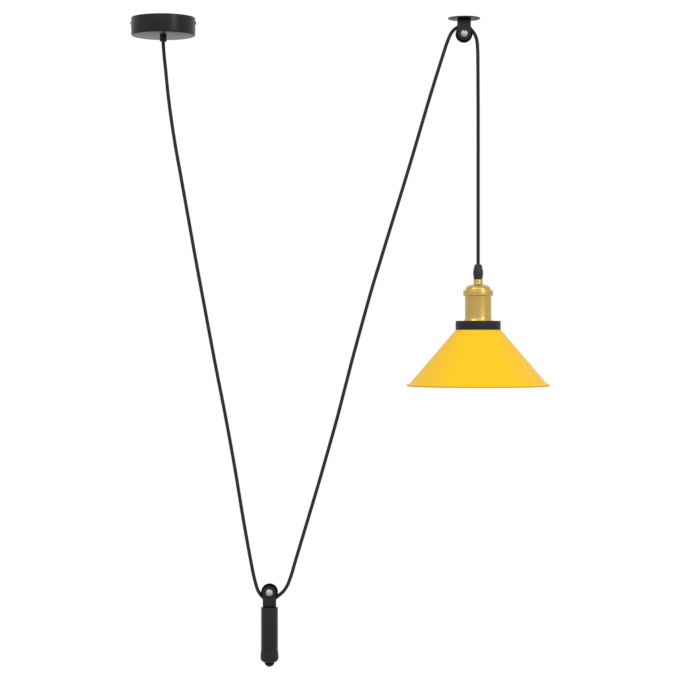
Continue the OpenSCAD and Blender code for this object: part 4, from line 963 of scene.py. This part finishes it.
def makeLockRing(lock):
    top, low, step = lock["top"], lock["top"] - lock["height"], lock["top"] - lock["flangeThickness"]
    ring = lathe([
        (lock["bore"], top, lock["edge"]), (lock["flange"], top, lock["edge"]),
        (lock["flange"], step, lock["flangeEdge"]), (lock["collar"], step, lock["edge"]),
        (lock["collar"], low, lock["footEdge"]), (lock["bore"], low, lock["boreEdge"]),
    ], steps=240)
    # finger notches, where the flange's rim dips in smoothly
    gap, half = 360 / lock["notches"], lock["notchHalf"]
    for vert in ring.verts:
        radius = vert.co.xy.length
        turn = degrees(atan2(vert.co.y, vert.co.x))
        away = abs(turn - gap * floor(turn / gap + 0.5))
        if radius > lock["flange"] - lock["notchBand"] and away < half:
            vert.co.xy *= 1 - lock["notch"] * cos(radians(away * 90 / half)) / radius
    addPiece("shadeLockRing", atLamp(ring), "lamp", "blackPlastic", "black_plastic", "shade_lock_ring")


makeLampGrip(lampGrip)
makeHolder(dome, shell)
makeClampRing(clampRing)
makeShade(shade)
makeSocket(socket)
makeScrewShell(screwShell)
makeLockRing(lockRing)
print("lamp ready")

# small parts whose solids already have their real shape only get a finish
plainParts = dict(
    zinc=["rose_strap", "rose_grub_screw", "rose_block_screws", "ceiling_fork_screw", "ceiling_fork_nut",
          "weight_long_bolt", "lamp_grip_nut"],
    blackPlastic=["rose_grip_nut"],
    whitePlastic=["rose_terminal_block"],
    contactBrass=["rose_terminal_inserts", "rose_earth_screw", "rose_earth_eyelet", "ceiling_bush",
                  "weight_bush", "holder_earth_lug", "socket_centre_contact", "socket_side_contact"],
    brightSteel=["rose_terminal_screws", "socket_terminal_screws"],
    sleeveEnd=["rose_cord_tail", "lamp_cord_tail"],
    brownCore=["rose_live_core", "lamp_live_core"],
    blueCore=["rose_neutral_core", "lamp_neutral_core"],
    earthCore=["rose_earth_core", "rose_earth_lead", "lamp_earth_core"],
)
for finish, names in plainParts.items():
    for name in names:
        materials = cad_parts[name].data.materials
        materials.clear()
        materials.append(finishes[finish])
print("small parts ready")

# the studio: pale floor, white surroundings, a soft key, a fill and a tall strip
studio = dict(
    floor=-1.6, middle=0.3, floorRadius=12, paper=0.72, paleFrom=1.4, paleTo=3.2, paleShare=0.6, world=0.6,
)
lamps = [
    # name, place, aim, width, height, watts
    ("key", (-1.9, -2.3, 2.4), (0.3, 0, -0.45), 0.8, 0.8, 44),
    ("strip", (2.3, -2.4, 0.9), (0.35, 0, -0.1), 0.5, 2.0, 32),
    ("fill", (0.2, -3.6, 1.9), (0.3, 0, -0.5), 1.6, 1.0, 17),
]


def seenWhite(graph, lit, white, share=1.0):
    # the camera and the reflections see plain white, the object is lit by the rest
    seen = graph.node("LightPath", output="Is Camera Ray")
    for ray in ("Is Glossy Ray", "Is Transmission Ray"):
        seen = seen.maths("MAXIMUM", seen, graph.node("LightPath", output=ray))
    return graph.node("MixShader", None, {0: seen * share, 1: lit, 2: white})


def makeWorld():
    world = bpy.data.worlds.new("studio")
    bpy.context.scene.world = world
    world.use_nodes = True
    world.node_tree.nodes.clear()
    sky = Graph(world.node_tree)
    ambient = sky.node("Background", None, {"Color": (1, 1, 1), "Strength": studio["world"]})
    white = sky.node("Background", None, {"Color": (1, 1, 1), "Strength": 1.0})
    sky.node("OutputWorld", None, {"Surface": seenWhite(sky, ambient, white)})


def makeFloor():
    # pale paper under the lamp, plain white further off, and open to a camera that looks up
    middle = (studio["middle"], 0, studio["floor"])
    paper = bpy.data.materials.new("palePaper")
    paper.use_nodes = True
    paper.node_tree.nodes.clear()
    sheet = Graph(paper.node_tree)
    matt = sheet.node("BsdfDiffuse", None, {"Color": [studio["paper"]] * 3})
    white = sheet.node("Emission", None, {"Color": (1, 1, 1), "Strength": 1.0})
    spot = sheet.node("TexCoord", output="Object")
    off = sheet.node("VectorMath", {"operation": "DISTANCE"}, {0: spot, 1: middle}, "Value")
    share = sheet.node("MapRange", {"interpolation_type": "SMOOTHSTEP"}, {
        "Value": off, "From Min": studio["paleFrom"], "From Max": studio["paleTo"],
        "To Min": studio["paleShare"], "To Max": 1.0,
    })
    shown = seenWhite(sheet, matt, white, share)
    under = sheet.node("NewGeometry", output="Backfacing")
    clear = sheet.node("BsdfTransparent")
    shown = sheet.node("MixShader", None, {0: under, 1: shown, 2: clear})
    sheet.node("OutputMaterial", None, {"Surface": shown})

    bm = bmesh.new()
    bmesh.ops.create_circle(bm, cap_ends=True, segments=64, radius=studio["floorRadius"])
    bmesh.ops.translate(bm, vec=middle, verts=bm.verts)
    mesh = bpy.data.meshes.new("floor")
    bm.to_mesh(mesh)
    bm.free()
    mesh.materials.append(paper)
    floorPiece = bpy.data.objects.new("floor", mesh)
    bpy.context.scene.collection.objects.link(floorPiece)


def makeLamps():
    for name, place, aim, wide, tall, watts in lamps:
        data = bpy.data.lights.new(name, "AREA")
        data.shape = "RECTANGLE"
        data.size, data.size_y, data.energy = wide, tall, watts
        lamp = bpy.data.objects.new(name, data)
        lamp.location = place
        lamp.rotation_euler = (Vector(aim) - Vector(place)).to_track_quat("-Z", "Y").to_euler()
        bpy.context.scene.collection.objects.link(lamp)


makeWorld()
makeFloor()
makeLamps()
bpy.context.scene.view_settings.view_transform = "Standard"
print("studio ready")
